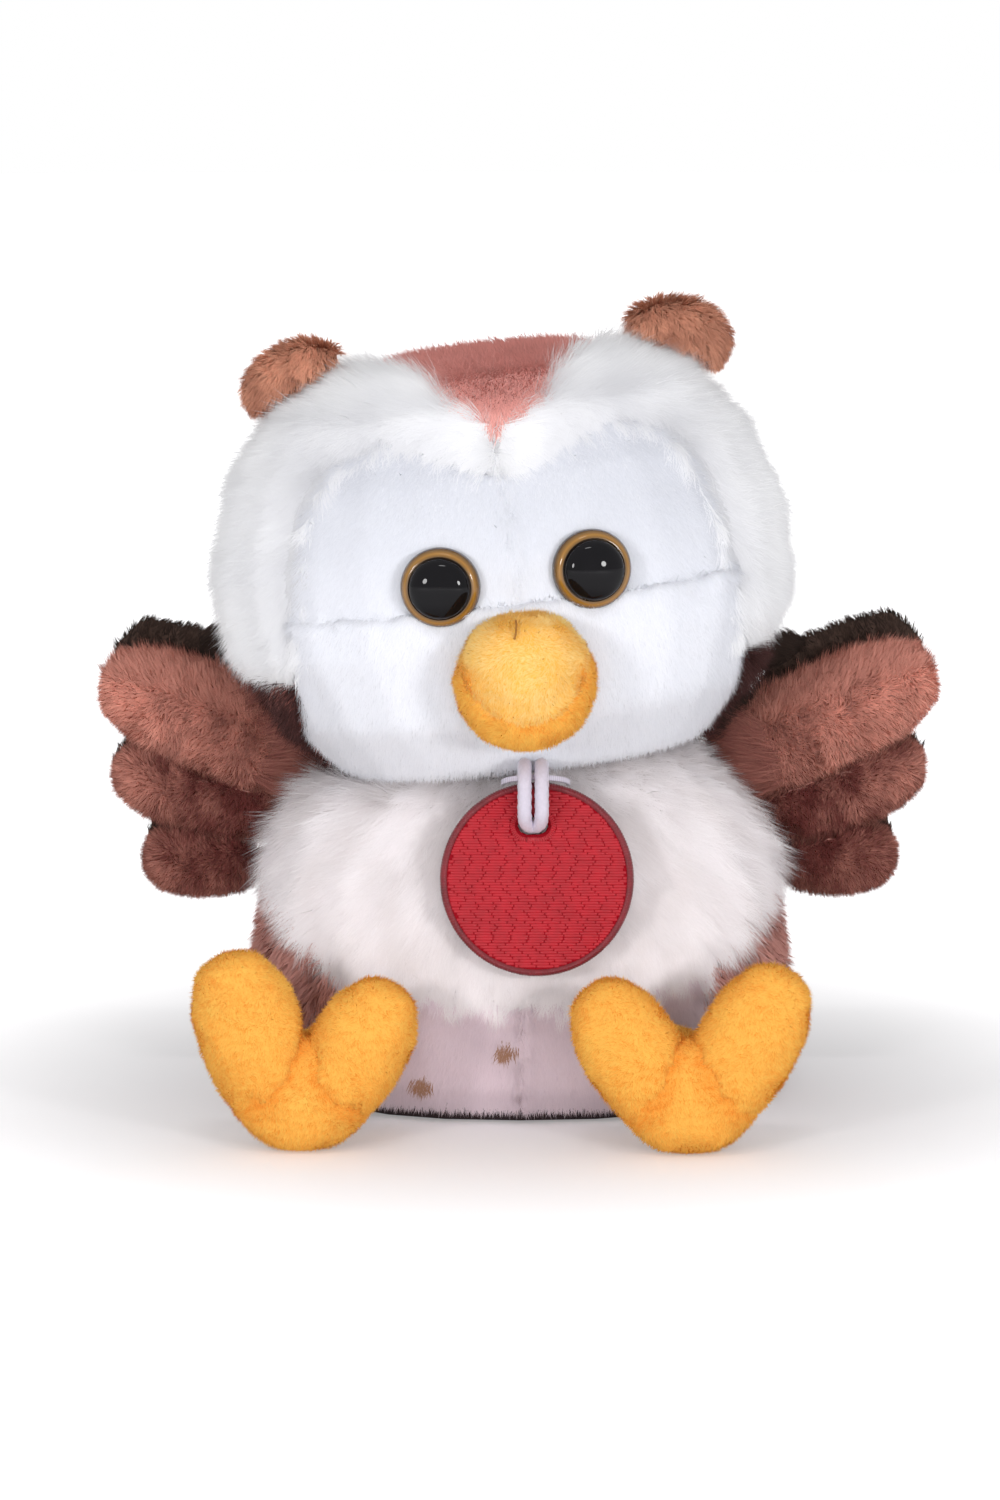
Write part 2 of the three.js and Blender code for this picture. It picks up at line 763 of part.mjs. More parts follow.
function addEarTuft(side) {
  const sign = sides[side];
  const lean = radians(earLeanDegrees);
  const sizes = {
    halfAcross: earHalfHeight,
    halfThrough: earHalfThickness,
    rise: earHalfLength,
    drop: earHalfLength,
  };
  const tuft = stuffedForm({
    profile: sizedProfile(earProfileShares, sizes),
    rings: earRings,
    count: earSides,
    origin: new THREE.Vector3(sign * earSpread[side], 0, earRise),
    axis: new THREE.Vector3(sign * Math.cos(lean), 0, -Math.sin(lean)),
  });
  const hoodRoom = solidOf(headForm(hoodPile + seamGap));
  addPiece(headTurn, `ear_tuft_${side}`, tuftPlush, solidOf(tuft).subtract(hoodRoom));
}

// Wings: three lobes and the lining behind them, on the hinge line of the side seam
function wingHinge() {
  const tilt = radians(wingTiltDegrees);
  const reach = (wingRootRadius + seamGap) / Math.cos(tilt);
  let aside = 0;
  for (let step = 0; step <= wingSeamSteps; step += 1) {
    const level = wingHeight - wingSeamDrop + ((wingSeamDrop + wingSeamRise) * step) / wingSeamSteps;
    const span = spanAt(bodyProfileShares, bodySizes, backPile, level);
    const side = span.x * (1 - (wingBack / span.y) ** bodySquareness) ** (1 / bodySquareness);
    aside = Math.max(aside, side + reach + Math.tan(tilt) * (level - wingHeight));
  }
  return aside;
}

const wingLobes = wingLobeShares.map((shares) => ({
  name: shares.name,
  turnDegrees: shares.turnDegrees,
  rootRise: shares.rootShare * wingLobeHalfHeight,
  length: shares.lengthShare * wingLength,
  halfHeight: shares.heightShare * wingLobeHalfHeight,
  halfThickness: shares.depthShare * wingLobeHalfThickness,
}));

const wings = {};
for (const [side, sign] of Object.entries(sides)) {
  wings[side] = new THREE.Group();
  wings[side].position.set(sign * wingHinge(), wingBack, wingHeight);
  wings[side].rotation.y = -sign * radians(wingTiltDegrees);
  owl.add(wings[side]);
}

// Room for a wing's round root, along its hinge line
function wingRootRoom(side) {
  const radius = wingRootRadius + seamGap + wingRootEase;
  const rod = new THREE.CylinderGeometry(radius, radius, cutOverrun, wingRootSides).rotateX(Math.PI / 2);
  return solidOf(carried(rod, wings[side], owl));
}

function addWing(side) {
  const sign = sides[side];
  const wing = wings[side];
  const bodyRoom = solidOf(carried(bodyForm(backPile + seamGap), owl, wing));
  const headRoom = solidOf(carried(headForm(headBackPile + swingClearance), headTurn, wing));
  const hoodRoom = solidOf(carried(headForm(hoodPile + swingClearance), headTurn, wing));
  const hoodBlock = blockBox({ low: -hoodDrop[side] - swingClearance });
  const hoodEdge = hoodRoom.intersect(solidOf(carried(hoodBlock, headTurn, wing)));
  const front = blockSolid({ rear: liningDepth - seamGap });
  const rootSteps = [0, 1, 2, 3];
  const lobe = ({ rootRise, turnDegrees, length, halfHeight, halfThickness }, grow) => {
    const turn = radians(turnDegrees + wingLiftDegrees[side]);
    const root = rootSteps.map((step) => {
      const bend = (step / 3) * (Math.PI / 2);
      return new THREE.Vector3(
        (halfHeight * wingRootShare + grow) * Math.sin(bend),
        (wingRootRadius + grow) * Math.sin(bend),
        -(wingRootRadius + grow) * Math.cos(bend),
      );
    });
    const sizes = { halfAcross: halfHeight, halfThrough: halfThickness, rise: length, drop: 0 };
    return solidOf(
      stuffedForm({
        profile: [...root, ...sizedProfile(lobeProfileShares, sizes, grow)],
        rings: lobeRings,
        count: lobeSides,
        origin: new THREE.Vector3(0, 0, rootRise),
        axis: new THREE.Vector3(sign * Math.cos(turn), 0, Math.sin(turn)),
      }),
    );
  };
  const taken = [];
  for (const plan of wingLobes) {
    const whole = taken.reduce((rest, cut) => rest.subtract(cut), lobe(plan, 0).intersect(front));
    const trimmed = whole.subtract(headRoom).subtract(hoodEdge).subtract(bodyRoom);
    addPiece(wing, `wing_${side}_${plan.name}`, brownPlush, trimmed);
    taken.push(lobe(plan, seamGap));
  }

  // The lining is three flat leaves joined, and shows above the upper lobe
  const leaves = wingLobes.map(({ name, rootRise, turnDegrees, length, halfHeight }) => {
    const turn = radians(turnDegrees + wingLiftDegrees[side]);
    const half = [
      new THREE.Vector2(0, halfHeight * wingRootShare + liningMargin),
      new THREE.Vector2(length / 3, halfHeight + liningMargin),
      new THREE.Vector2(length * lobeProfileShares[1][2], halfHeight + liningMargin / 2),
      new THREE.Vector2(length * lobeProfileShares[3][2], halfHeight * lobeProfileShares[2][0]),
      new THREE.Vector2(length + liningMargin, 0),
    ];
    const curve = new THREE.SplineCurve(half).getSpacedPoints(liningSteps);
    const lower = curve.slice(0, -1).map((point) => new THREE.Vector2(point.x, -point.y)).reverse();
    const shape = new THREE.Shape([...curve, ...lower]);
    const leaf = new THREE.ExtrudeGeometry(shape, {
      depth: liningThickness - 2 * liningBevel,
      bevelSize: liningBevel,
      bevelThickness: liningBevel,
      bevelOffset: -liningBevel,
      bevelSegments: 1,
    });
    const shown = name === "upper" ? liningShow : 0;
    leaf.rotateX(Math.PI / 2).translate(0, liningDepth + liningThickness - liningBevel, 0);
    if (sign < 0) leaf.rotateZ(Math.PI).translate(0, 2 * liningDepth + liningThickness, 0);
    leaf.rotateY(-sign * turn).translate(0, 0, rootRise + shown);
    return solidOf(leaf);
  });
  const lining = leaves[0].add(leaves[1]).add(leaves[2]).subtract(hoodRoom).subtract(bodyRoom);
  addPiece(wing, `wing_${side}_lining`, darkPlush, lining);
}

// Legs and feet: a leg bends at its root, and the foot stands on its heel
function addFoot(side) {
  const sign = sides[side];
  const hip = restingFront(legHeight, legSpread[side], legRadius + seamGap, bellyPile) - legSettle;
  const foot = new THREE.Group();
  foot.position.set(sign * legSpread[side], -hip, legHeight);
  owl.add(foot);
  const aside = sign * (footSpread[side] - legSpread[side]);
  const footMiddle = -(legLength + footHalfThickness);
  const forward = back.clone().negate();

  const heelSizes = {
    halfAcross: heelHalfWidth,
    halfThrough: footHalfThickness,
    rise: heelHalfHeight,
    drop: heelHalfHeight,
  };
  const heelForm = (grow) =>
    solidOf(
      stuffedForm({
        profile: sizedProfile(limbProfileShares, heelSizes, grow),
        rings: limbRings,
        count: limbSides,
        origin: new THREE.Vector3(aside, footMiddle, heelHalfHeight - heelFlat - legHeight),
        squareness: heelSquareness,
      }),
    );
  const floor = blockSolid({ high: -legHeight });

  const outlines = toeShares.filter((toe) => toe.foot === side).map((toe) => {
    const length = toe.lengthShare * toeLength;
    const halfWidth = toe.widthShare * toeHalfWidth;
    const outward = toe.name === "outer" ? sign : -sign;
    const lean = radians(toe.leanDegrees) * outward;
    const axis = new THREE.Vector3(Math.sin(lean), 0, Math.cos(lean));
    const rootRise = toeRootHeight - legHeight;
    const root = new THREE.Vector3(aside + outward * toeRootSpread, footMiddle - toeForward, rootRise);
    const half = length / 2;
    const sizes = { halfAcross: halfWidth, halfThrough: footHalfThickness, rise: half, drop: half };
    const form = (grow) =>
      solidOf(stuffedForm({
        profile: sizedProfile(limbProfileShares, sizes, grow),
        rings: limbRings,
        count: limbSides,
        origin: root.clone().addScaledVector(axis, half - halfWidth / 2),
        axis,
      }));
    return { toe, form };
  });
  const rightZone = blockSolid({ left: aside + seamGap / 2 });
  const leftZone = blockSolid({ right: aside - seamGap / 2 });
  const outer = outlines.find(({ toe }) => toe.name === "outer");
  const inner = outlines.find(({ toe }) => toe.name === "inner");
  const outerToe = outer.form(0).intersect(sign > 0 ? rightZone : leftZone);
  const innerToe = inner.form(0).intersect(sign > 0 ? leftZone : rightZone);
  addPiece(foot, `toe_outer_${side}`, yellowVelour, outerToe.subtract(heelForm(seamGap)).subtract(floor));
  addPiece(foot, `toe_inner_${side}`, yellowVelour, innerToe.subtract(heelForm(seamGap)).subtract(floor));
  addPiece(foot, `heel_${side}`, yellowVelour, heelForm(0).subtract(floor));

  const legReach = legLength + footHalfThickness;
  const legSizes = { halfAcross: legRadius, halfThrough: legRadius, rise: legReach, drop: legRadius };
  const legShares = [[0, 0, -1], [0.5, 0.5, -0.866], [0.866, 0.866, -0.5], [1, 1, 0], [1, 1, 1]];
  const leg = solidOf(stuffedForm({
    profile: sizedProfile(legShares, legSizes),
    rings: limbRings,
    count: limbSides,
    axis: new THREE.Vector3(aside, -legReach, 0).normalize(),
    through: up,
  }));
  const cuts = [heelForm(seamGap), outer.form(seamGap), inner.form(seamGap)];
  const behind = blockSolid({ front: footMiddle });
  const legSolid = cuts.reduce((rest, cut) => rest.subtract(cut), leg.intersect(behind));
  addPiece(foot, `leg_${side}`, yellowVelour, legSolid);
}

// Tag: disc with a slot, its doubled cord and the ribbon that holds it
function addTag() {
  const shape = new THREE.Shape().absarc(0, 0, tagRadius - tagBevel, 0, 2 * Math.PI);
  const straight = slotHalfWidth - slotHalfHeight;
  const slot = Array.from({ length: 2 * slotSteps }, (_, step) => {
    const end = step < slotSteps ? 1 : -1;
    const angle = (Math.PI * (step % slotSteps)) / (slotSteps - 1) - end * (Math.PI / 2);
    const aside = slotAside + end * straight + slotHalfHeight * Math.cos(angle);
    return new THREE.Vector2(aside, slotRise + slotHalfHeight * Math.sin(angle));
  });
  shape.holes.push(new THREE.Path(slot));
  const disc = new THREE.ExtrudeGeometry(shape, {
    depth: tagThickness - 2 * tagBevel,
    bevelSize: tagBevel,
    bevelThickness: tagBevel,
    bevelSegments: 1,
    curveSegments: tagSides / 2,
  });
  disc.translate(0, 0, tagBevel - tagThickness / 2).rotateX(Math.PI / 2);
  const tag = new THREE.Group();
  tag.position.set(tagAside, -tagForward, tagHeight);
  tag.rotation.x = -radians(tagTiltDegrees);
  owl.add(tag);
  addPiece(tag, "tag_disc", redStitching, solidOf(disc));

  const strand = (sign) =>
    tagCordHalfPoints.map(([spread, forward, rise]) =>
      new THREE.Vector3(tagAside + slotAside + sign * spread * cordSpread, forward, rise),
    );
  const turn = new THREE.Vector3(tagAside + slotAside + tagCordTurn[0], tagCordTurn[1], tagCordTurn[2]);
  const path = new THREE.CatmullRomCurve3([...strand(-1), turn, ...strand(1).reverse()]);
  const cordRadius = tagCordDiameter / 2;
  const ring = squaredRing(new THREE.Vector3(), across, back, cordRadius, cordRadius, 2, tagCordSides);
  const round = new THREE.Shape(ring.map((point) => new THREE.Vector2(point.x, point.y)));
  const sweep = { steps: tagCordSteps, extrudePath: path, bevelEnabled: false };
  addPiece(owl, "tag_loop", whiteCord, solidOf(new THREE.ExtrudeGeometry(round, sweep)));

  const arch = (grow) => Array.from({ length: ribbonSteps + 1 }, (_, step) => {
    const angle = (Math.PI * step) / ribbonSteps;
    const outward = (grow * ribbonThickness) / 2;
    const aside = (ribbonHalfSpan + outward) * Math.cos(angle);
    return new THREE.Vector2(aside, -(ribbonReach + outward) * Math.sin(angle));
  });
  const ribbon = prism([...arch(1), ...arch(-1).reverse()], ribbonWidth).translate(0, 0, -ribbonWidth / 2);
  const ribbonGroup = new THREE.Group();
  ribbonGroup.position.set(ribbonAside, -ribbonForward, neckHeight - ribbonDrop);
  ribbonGroup.rotation.x = -radians(ribbonTiltDegrees);
  owl.add(ribbonGroup);
  addPiece(ribbonGroup, "tag_ribbon", whiteCord, solidOf(ribbon));
}

addBody();
addHead();
addBeak();
for (const side of Object.keys(sides)) {
  addEye(side);
  addEarTuft(side);
  addWing(side);
  addFoot(side);
}
addTag();

export default owl;
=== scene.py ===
"""Dresses the plush owl's frame: pile on every panel, stuffed feet, beak and wings, eyes, tag and stage."""

import json
import math
from contextlib import contextmanager
from typing import NamedTuple

import bpy
import numpy as np
from bpy.props import FloatProperty, FloatVectorProperty, IntProperty, PointerProperty
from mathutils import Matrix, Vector, kdtree
from mathutils.bvhtree import BVHTree

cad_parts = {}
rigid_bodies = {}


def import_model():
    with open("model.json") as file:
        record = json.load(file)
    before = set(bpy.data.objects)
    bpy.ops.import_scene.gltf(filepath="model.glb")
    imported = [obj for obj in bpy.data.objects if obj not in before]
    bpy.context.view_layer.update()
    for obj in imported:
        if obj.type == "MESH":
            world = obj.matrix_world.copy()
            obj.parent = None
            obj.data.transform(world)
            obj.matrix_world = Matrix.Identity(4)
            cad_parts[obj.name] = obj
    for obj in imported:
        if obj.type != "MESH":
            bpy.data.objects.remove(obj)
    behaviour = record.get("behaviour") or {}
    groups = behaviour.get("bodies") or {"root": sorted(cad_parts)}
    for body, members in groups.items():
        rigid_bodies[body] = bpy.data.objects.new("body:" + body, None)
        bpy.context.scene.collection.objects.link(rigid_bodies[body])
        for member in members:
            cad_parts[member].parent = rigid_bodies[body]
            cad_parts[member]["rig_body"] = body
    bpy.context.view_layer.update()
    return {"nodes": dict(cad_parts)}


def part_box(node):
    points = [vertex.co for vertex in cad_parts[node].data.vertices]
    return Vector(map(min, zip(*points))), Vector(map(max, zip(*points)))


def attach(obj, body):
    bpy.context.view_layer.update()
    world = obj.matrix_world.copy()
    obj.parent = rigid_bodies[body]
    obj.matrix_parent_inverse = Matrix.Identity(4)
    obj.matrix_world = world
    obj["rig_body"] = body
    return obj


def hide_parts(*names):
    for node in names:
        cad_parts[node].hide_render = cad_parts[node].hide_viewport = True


bl_info = {
    "name": "Plush Owl",
    "version": (1, 0, 0),
    "blender": (4, 5, 0),
    "location": "3D View > Sidebar > Owl",
    "description": "Makes a seated plush owl with long pile, stuffed feet and a round tag",
    "category": "Add Mesh",
}

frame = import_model()
NODES = frame["nodes"]
MM = 0.001
SIDES = {"left": -1, "right": 1}
OTHER_SIDE = {"left": "right", "right": "left"}
WING_LOBES = ("upper", "middle", "lower")
FACE_PANELS = ["face_upper_left", "face_upper_right", "face_lower"]
FACE_UPPER = FACE_PANELS[:2]
PILE_UV = "OFBake"


def shade(red, green, blue):
    """A colour picked from 0 to 255 a channel, as the linear colour that shaders take."""
    return tuple(
        c / 255 / 12.92 if c < 10.4 else ((c / 255 + 0.055) / 1.055) ** 2.4 for c in (red, green, blue)
    )


def darker(colour, share):
    """This share of a colour's light."""
    return tuple(share * c for c in colour)


def pile(name, length):
    """A pile length as a property in metres."""
    return FloatProperty(
        name=name, description=f"Length of the {name.lower()}", default=length * MM,
        min=0.2 * MM, max=20 * MM, subtype="DISTANCE", unit="LENGTH",
    )


def colour_property(name, red, green, blue):
    """A colour property."""
    return FloatVectorProperty(
        name=name, description=f"Colour of the {name.lower()}", default=shade(red, green, blue),
        size=3, min=0, max=1, subtype="COLOR",
    )


class OwlSizes(bpy.types.PropertyGroup):
    """Pile lengths and thread sizes."""

    hood_pile: pile("Hood pile", 10.5)
    chest_pile: pile("Chest pile", 10.5)
    face_pile: pile("Face pile", 2.2)
    belly_pile: pile("Belly pile", 2.4)
    crown_pile: pile("Crown pile", 5)
    back_pile: pile("Back pile", 4.4)
    wing_pile: pile("Wing pile", 2.8)
    lining_pile: pile("Lining pile", 2.0)
    ear_pile: pile("Ear tuft pile", 3.4)
    velour_pile: pile("Velour pile", 1.1)
    stitch_length: pile("Tag stitches", 3.2)
    stitch_pitch: pile("Gap between stitch rows", 0.5)
    cord_diameter: pile("Tag cord", 2.7)
    hair_share: FloatProperty(
        name="Hair share", description="Share of the full number of hairs", default=1, min=0.05, max=1,
        subtype="FACTOR",
    )
    sim_frames: IntProperty(
        name="Filling frames", description="Frames that the stuffed pieces take to fill out", default=20,
        min=1, max=60,
    )


class OwlColours(bpy.types.PropertyGroup):
    """Colours of the plush, plastic and thread, among them painted light and shade: the brown tips in the
    light and the velour in the folds.
    """

    hood_tip: colour_property("Hood tips", 249, 249, 250)
    hood_root: colour_property("Hood roots", 231, 231, 234)
    chest_tip: colour_property("Chest tips", 243, 239, 241)
    chest_root: colour_property("Chest roots", 217, 210, 210)
    face_tip: colour_property("Face tips", 241, 242, 247)
    face_root: colour_property("Face roots", 204, 206, 213)
    belly_tip: colour_property("Belly tips", 232, 216, 223)
    belly_root: colour_property("Belly roots", 212, 194, 202)
    fleck: colour_property("Belly flecks", 176, 134, 110)
    brown_light: colour_property("Brown tips in the light", 238, 178, 166)
    brown_dark: colour_property("Brown roots", 130, 70, 64)
    crown_tip: colour_property("Crown tips", 246, 192, 184)
    crown_root: colour_property("Crown roots", 158, 92, 86)
    ear_light: colour_property("Ear tuft tips", 252, 188, 156)
    ear_dark: colour_property("Ear tuft roots", 150, 84, 66)
    wing_light: colour_property("Wing tips", 255, 180, 160)
    wing_dark: colour_property("Wing roots", 106, 46, 44)
    lining_light: colour_property("Lining tips", 84, 66, 58)
    lining_dark: colour_property("Lining roots", 40, 30, 27)
    velour_light: colour_property("Velour", 255, 202, 94)
    beak_light: colour_property("Beak tips", 255, 224, 150)
    # Painted shade: the darker velour that the creases between pieces take, and the dark end of the nap's
    # random tone.
    velour_dark: colour_property("Velour in the folds", 240, 152, 52)
    tag_red: colour_property("Tag stitches", 182, 6, 32)
    tag_edge: colour_property("Tag edge", 124, 6, 26)
    cord_white: colour_property("Cord and ribbon", 226, 220, 236)
    amber: colour_property("Eye ring", 162, 114, 40)
    amber_dark: colour_property("Eye rim", 38, 26, 12)


def sizes():
    """The piece sizes that the sidebar shows."""
    return bpy.context.scene.owl_sizes


def colour_settings():
    """The colours that the sidebar shows."""
    return bpy.context.scene.owl_colours


# Shared steps


def deselect():
    """Nothing is selected afterwards."""
    for thing in bpy.context.view_layer.objects:
        thing.select_set(False)
    bpy.context.view_layer.objects.active = None


def pick(piece):
    """The piece alone is selected and active."""
    deselect()
    piece.hide_set(False)
    piece.select_set(True)
    bpy.context.view_layer.objects.active = piece


@contextmanager
def editing(piece):
    """Edit mode with the whole piece selected, until the block ends."""
    pick(piece)
    bpy.ops.object.mode_set(mode="EDIT")
    bpy.ops.mesh.select_all(action="SELECT")
    yield
    bpy.ops.object.mode_set(mode="OBJECT")


def modify(piece, kind, **settings):
    """A modifier of this kind, applied to the mesh."""
    modifier = piece.modifiers.new(kind.title(), kind)
    for key, value in settings.items():
        setattr(modifier, key, value)
    pick(piece)
    bpy.ops.object.modifier_apply(modifier=modifier.name)


def settle(piece):
    """The piece's place goes into its mesh, so that its object sits at the origin."""
    pick(piece)
    bpy.ops.object.transform_apply(location=True, rotation=True, scale=True)


def unit(rows):
    """Every row of an array at length one."""
    return rows / np.maximum(np.linalg.norm(rows, axis=1, keepdims=True), 1e-12)


def read(piece, what="co", mesh=None):
    """Places or normals of a mesh's points, as rows."""
    mesh = mesh or piece.data
    values = np.empty(len(mesh.vertices) * 3)
    mesh.vertices.foreach_get(what, values)
    return values.reshape(-1, 3)


def write(piece, points):
    """New places for a mesh's points."""
    piece.data.vertices.foreach_set("co", points.ravel())
    piece.data.update()


def mark(piece, name, values):
    """A value at every point of the mesh, for its material to read."""
    made = piece.data.attributes.new(name, "FLOAT", "POINT")
    made.data.foreach_set("value", values.astype(np.float32))


def link(name, mesh):
    """A new object for a mesh."""
    piece = bpy.data.objects.new(name, mesh)
    bpy.context.scene.collection.objects.link(piece)
    return piece


def new_mesh(name, points, faces):
    """A piece from rows of points and faces."""
    mesh = bpy.data.meshes.new(name)
    mesh.from_pydata([tuple(p) for p in points], [], [tuple(int(i) for i in face) for face in faces])
    mesh.update()
    return link(name, mesh)


def copy_of(node, name):
    """A clean copy of a frame piece, with its doubled points merged."""
    if node not in NODES:
        raise RuntimeError(f"the frame has no piece called {node}")
    mesh = NODES[node].data.copy()
    mesh.materials.clear()
    mesh.name = name
    piece = link(name, mesh)
    pick(piece)
    if mesh.has_custom_normals:
        bpy.ops.mesh.customdata_custom_splitnormals_clear()
    with editing(piece):
        bpy.ops.mesh.remove_doubles(threshold=0.02 * MM)
    return piece


def body_of(node):
    """The moving body that a frame piece belongs to."""
    return NODES[node]["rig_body"]


def middle_of(node):
    """The middle of a frame piece's box."""
    low, high = (np.array(corner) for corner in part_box(node))
    return (low + high) / 2


def tree_of(node):
    """A search tree over a frame piece."""
    mesh = NODES[node].data
    mesh.calc_loop_triangles()
    points = [v.co.copy() for v in mesh.vertices]
    return BVHTree.FromPolygons(points, [tuple(t.vertices) for t in mesh.loop_triangles])


def closeness(points, nodes, reach):
    """From 1 at the neighbours' skins down to 0 well away from them, with the reach in millimetres."""
    reach *= MM
    nearest = np.full(len(points), 10.0)
    for tree in map(tree_of, nodes):
        for index, point in enumerate(points):
            found = tree.find_nearest(Vector(point), 6 * reach)
            if found[0] is not None:
                nearest[index] = min(nearest[index], found[3])
    return np.exp(-nearest / reach)


def mottle(points, scale, seed):
    """Soft patches from -1 to 1, about scale millimetres across."""
    scale *= MM
    rng = np.random.default_rng(seed)
    total = np.zeros(len(points))
    for _ in range(7):
        wave = unit(rng.normal(size=(1, 3)))[0] * 2 * math.pi / (scale * rng.uniform(0.7, 1.7))
        total += np.sin(points @ wave + rng.uniform(0, 6.3))
    return np.clip(total / 3.2, -1, 1)


def ramp(values, start, span):
    """From 0 at start to 1 a span further on, in millimetres. A span below nought counts downwards."""
    return np.clip((values - start * MM) / (span * MM), 0, 1)


def dress(piece, body, material, node=None, angle=None):
    """A piece gets its material and smooth faces, rides on a body and stands for its frame piece."""
    piece.data.materials.clear()
    piece.data.materials.append(material)
    pick(piece)
    if angle:
        bpy.ops.object.shade_smooth_by_angle(angle=math.radians(angle))
    else:
        bpy.ops.object.shade_smooth()
    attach(piece, body)
    if node:
        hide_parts(node)


# Materials


def shader(name, roughness, sheen=0.0, coat=0.0, specular=0.5):
    """A new material with its plain values set on the shader."""
    material = bpy.data.materials.new(name)
    material.use_nodes = True
    surface = material.node_tree.nodes["Principled BSDF"]
    values = {
        "Roughness": roughness, "Sheen Weight": sheen, "Sheen Roughness": 0.5,
        "Coat Weight": coat, "Coat Roughness": 0.04, "Specular IOR Level": specular,
    }
    for socket, value in values.items():
        surface.inputs[socket].default_value = value
    return material, material.node_tree.nodes, material.node_tree.links, surface


def mixed(nodes, links, factor, first, second, blend="MIX"):
    """A mix of two colours or links by a factor or link."""
    node = nodes.new("ShaderNodeMix")
    node.data_type = "RGBA"
    node.blend_type = blend
    sockets = {"Factor": node.inputs[0], "A": node.inputs[6], "B": node.inputs[7]}
    for key, value in (("Factor", factor), ("A", first), ("B", second)):
        if isinstance(value, bpy.types.NodeSocket):
            links.new(value, sockets[key])
        elif key == "Factor":
            sockets[key].default_value = value
        else:
            sockets[key].default_value = (*value, 1)
    return node.outputs[2]


def texture(nodes, links, scale, kind="Noise"):
    """A texture on the piece's own places."""
    where = nodes.new("ShaderNodeTexCoord")
    made = nodes.new(f"ShaderNodeTex{kind}")
    made.inputs["Scale"].default_value = scale
    links.new(where.outputs["Object"], made.inputs["Vector"])
    return made


def ranged(nodes, links, value, start=0.0, end=1.0, low=0.0, high=1.0, easing="LINEAR"):
    """A value between start and end, brought between low and high."""
    node = nodes.new("ShaderNodeMapRange")
    node.interpolation_type = easing
    for socket, number in (("From Min", start), ("From Max", end), ("To Min", low), ("To Max", high)):
        node.inputs[socket].default_value = number
    links.new(value, node.inputs["Value"])
    return node.outputs[0]


def joined(nodes, links, operation, first, second):
    """Two values joined by a sum of this kind."""
    node = nodes.new("ShaderNodeMath")
    node.operation = operation
    links.new(first, node.inputs[0])
    links.new(second, node.inputs[1])
    return node.outputs[0]


def once(make, name, *finish):
    """The material of this name, made when it is first needed."""
    return bpy.data.materials.get(name) or make(name, *finish)


def pile_material(name, root, tip, depth=0.85, sheen=0.25):
    """Hair that is darker at its root, as painted shade within the pile, with each hair's own tint across the
    first direction of its map.
    """
    material, nodes, links, surface = shader(name, 0.85, sheen, specular=0.2)
    place = nodes.new("ShaderNodeUVMap")
    place.uv_map = PILE_UV
    parts = nodes.new("ShaderNodeSeparateXYZ")
    links.new(place.outputs[0], parts.inputs[0])
    colour = mixed(nodes, links, parts.outputs[0], root, tip)
    # Painted shade: the colour falls to depth of itself at the root and is full from most of the way up.
    along = ranged(nodes, links, parts.outputs[1], end=0.8, low=depth)
    grey = nodes.new("ShaderNodeCombineColor")
    for channel in range(3):
        links.new(along, grey.inputs[channel])
    links.new(mixed(nodes, links, 1.0, colour, grey.outputs[0], "MULTIPLY"), surface.inputs["Base Color"])
    surface.inputs["Sheen Tint"].default_value = (*tip, 1)
    return material


def cloth_material(name, light, dark, grain=0.5, sheen=0.3, bump=0.3):
    """Backing cloth with a fine mottled pile, darkened towards its dark colour by painted shade in the folds,
    along seams and at the floor.
    """
    material, nodes, links, surface = shader(name, 0.9, sheen, specular=0.2)
    fine = texture(nodes, links, 1000 / grain)
    fine.inputs["Detail"].default_value = 3
    broad = texture(nodes, links, 160)
    painted_shade = nodes.new("ShaderNodeAttribute")
    painted_shade.attribute_name = "painted_shade"
    worn = mixed(nodes, links, broad.outputs["Fac"], darker(light, 0.86), light)
    speck = mixed(nodes, links, fine.outputs["Fac"], darker(light, 0.8), worn)
    # Painted shade: the dark colour goes where the skin is marked near its neighbours and at the floor.
    links.new(mixed(nodes, links, painted_shade.outputs["Fac"], speck, dark), surface.inputs["Base Color"])
    relief = nodes.new("ShaderNodeBump")
    relief.inputs["Strength"].default_value = bump
    relief.inputs["Distance"].default_value = 0.3 * MM
    links.new(fine.outputs["Fac"], relief.inputs["Height"])
    links.new(relief.outputs[0], surface.inputs["Normal"])
    surface.inputs["Sheen Tint"].default_value = (*light, 1)
    return material


def toned_material(name, light, dark, scale, roughness, kind="Noise", span=None, **finish):
    """Thread or plastic whose tone wanders from dark to light, across a span of its texture."""
    material, nodes, links, surface = shader(name, roughness, **finish)
    tone = texture(nodes, links, scale, kind).outputs["Fac"]
    if span:
        tone = ranged(nodes, links, tone, *span)
    links.new(mixed(nodes, links, tone, dark, light), surface.inputs["Base Color"])
    return material


def brown_plush():
    """Pile and backing cloth of the brown panels."""
    light, dark = colour_settings().brown_light, colour_settings().brown_dark
    between = tuple(0.5 * (a + b) for a, b in zip(light, dark))
    hair = once(pile_material, "back_pile", dark, light, 0.8, 0.5)
    return hair, once(cloth_material, "brown_cloth", between, dark, 0.6)


# Stuffed forms

FLOOR_GAP = 0.15 * MM
SEAM_PUSH = 1.6
SEAM_REACH = 2.0
PANEL_FILL = 0.5
STUFFED_FILL = 0.8
FILLING_SUNK = 1.4


def outwards(points, part):
    """Directions away from the middle of the head or of the body."""
    core = np.zeros_like(points)
    if part == "head":
        core[:, 0] = np.clip(points[:, 0], -12 * MM, 6 * MM)
        core[:, 1] = -4 * MM
        core[:, 2] = 101 * MM
    else:
        core[:, 0] = np.clip(points[:, 0], -14 * MM, 14 * MM)
        core[:, 2] = np.clip(points[:, 2], 22 * MM, 40 * MM)
    return unit(points - core)


def even_out(piece, rounds):
    """Wrinkles are smoothed away."""
    modify(piece, "SMOOTH", factor=0.5, iterations=rounds)


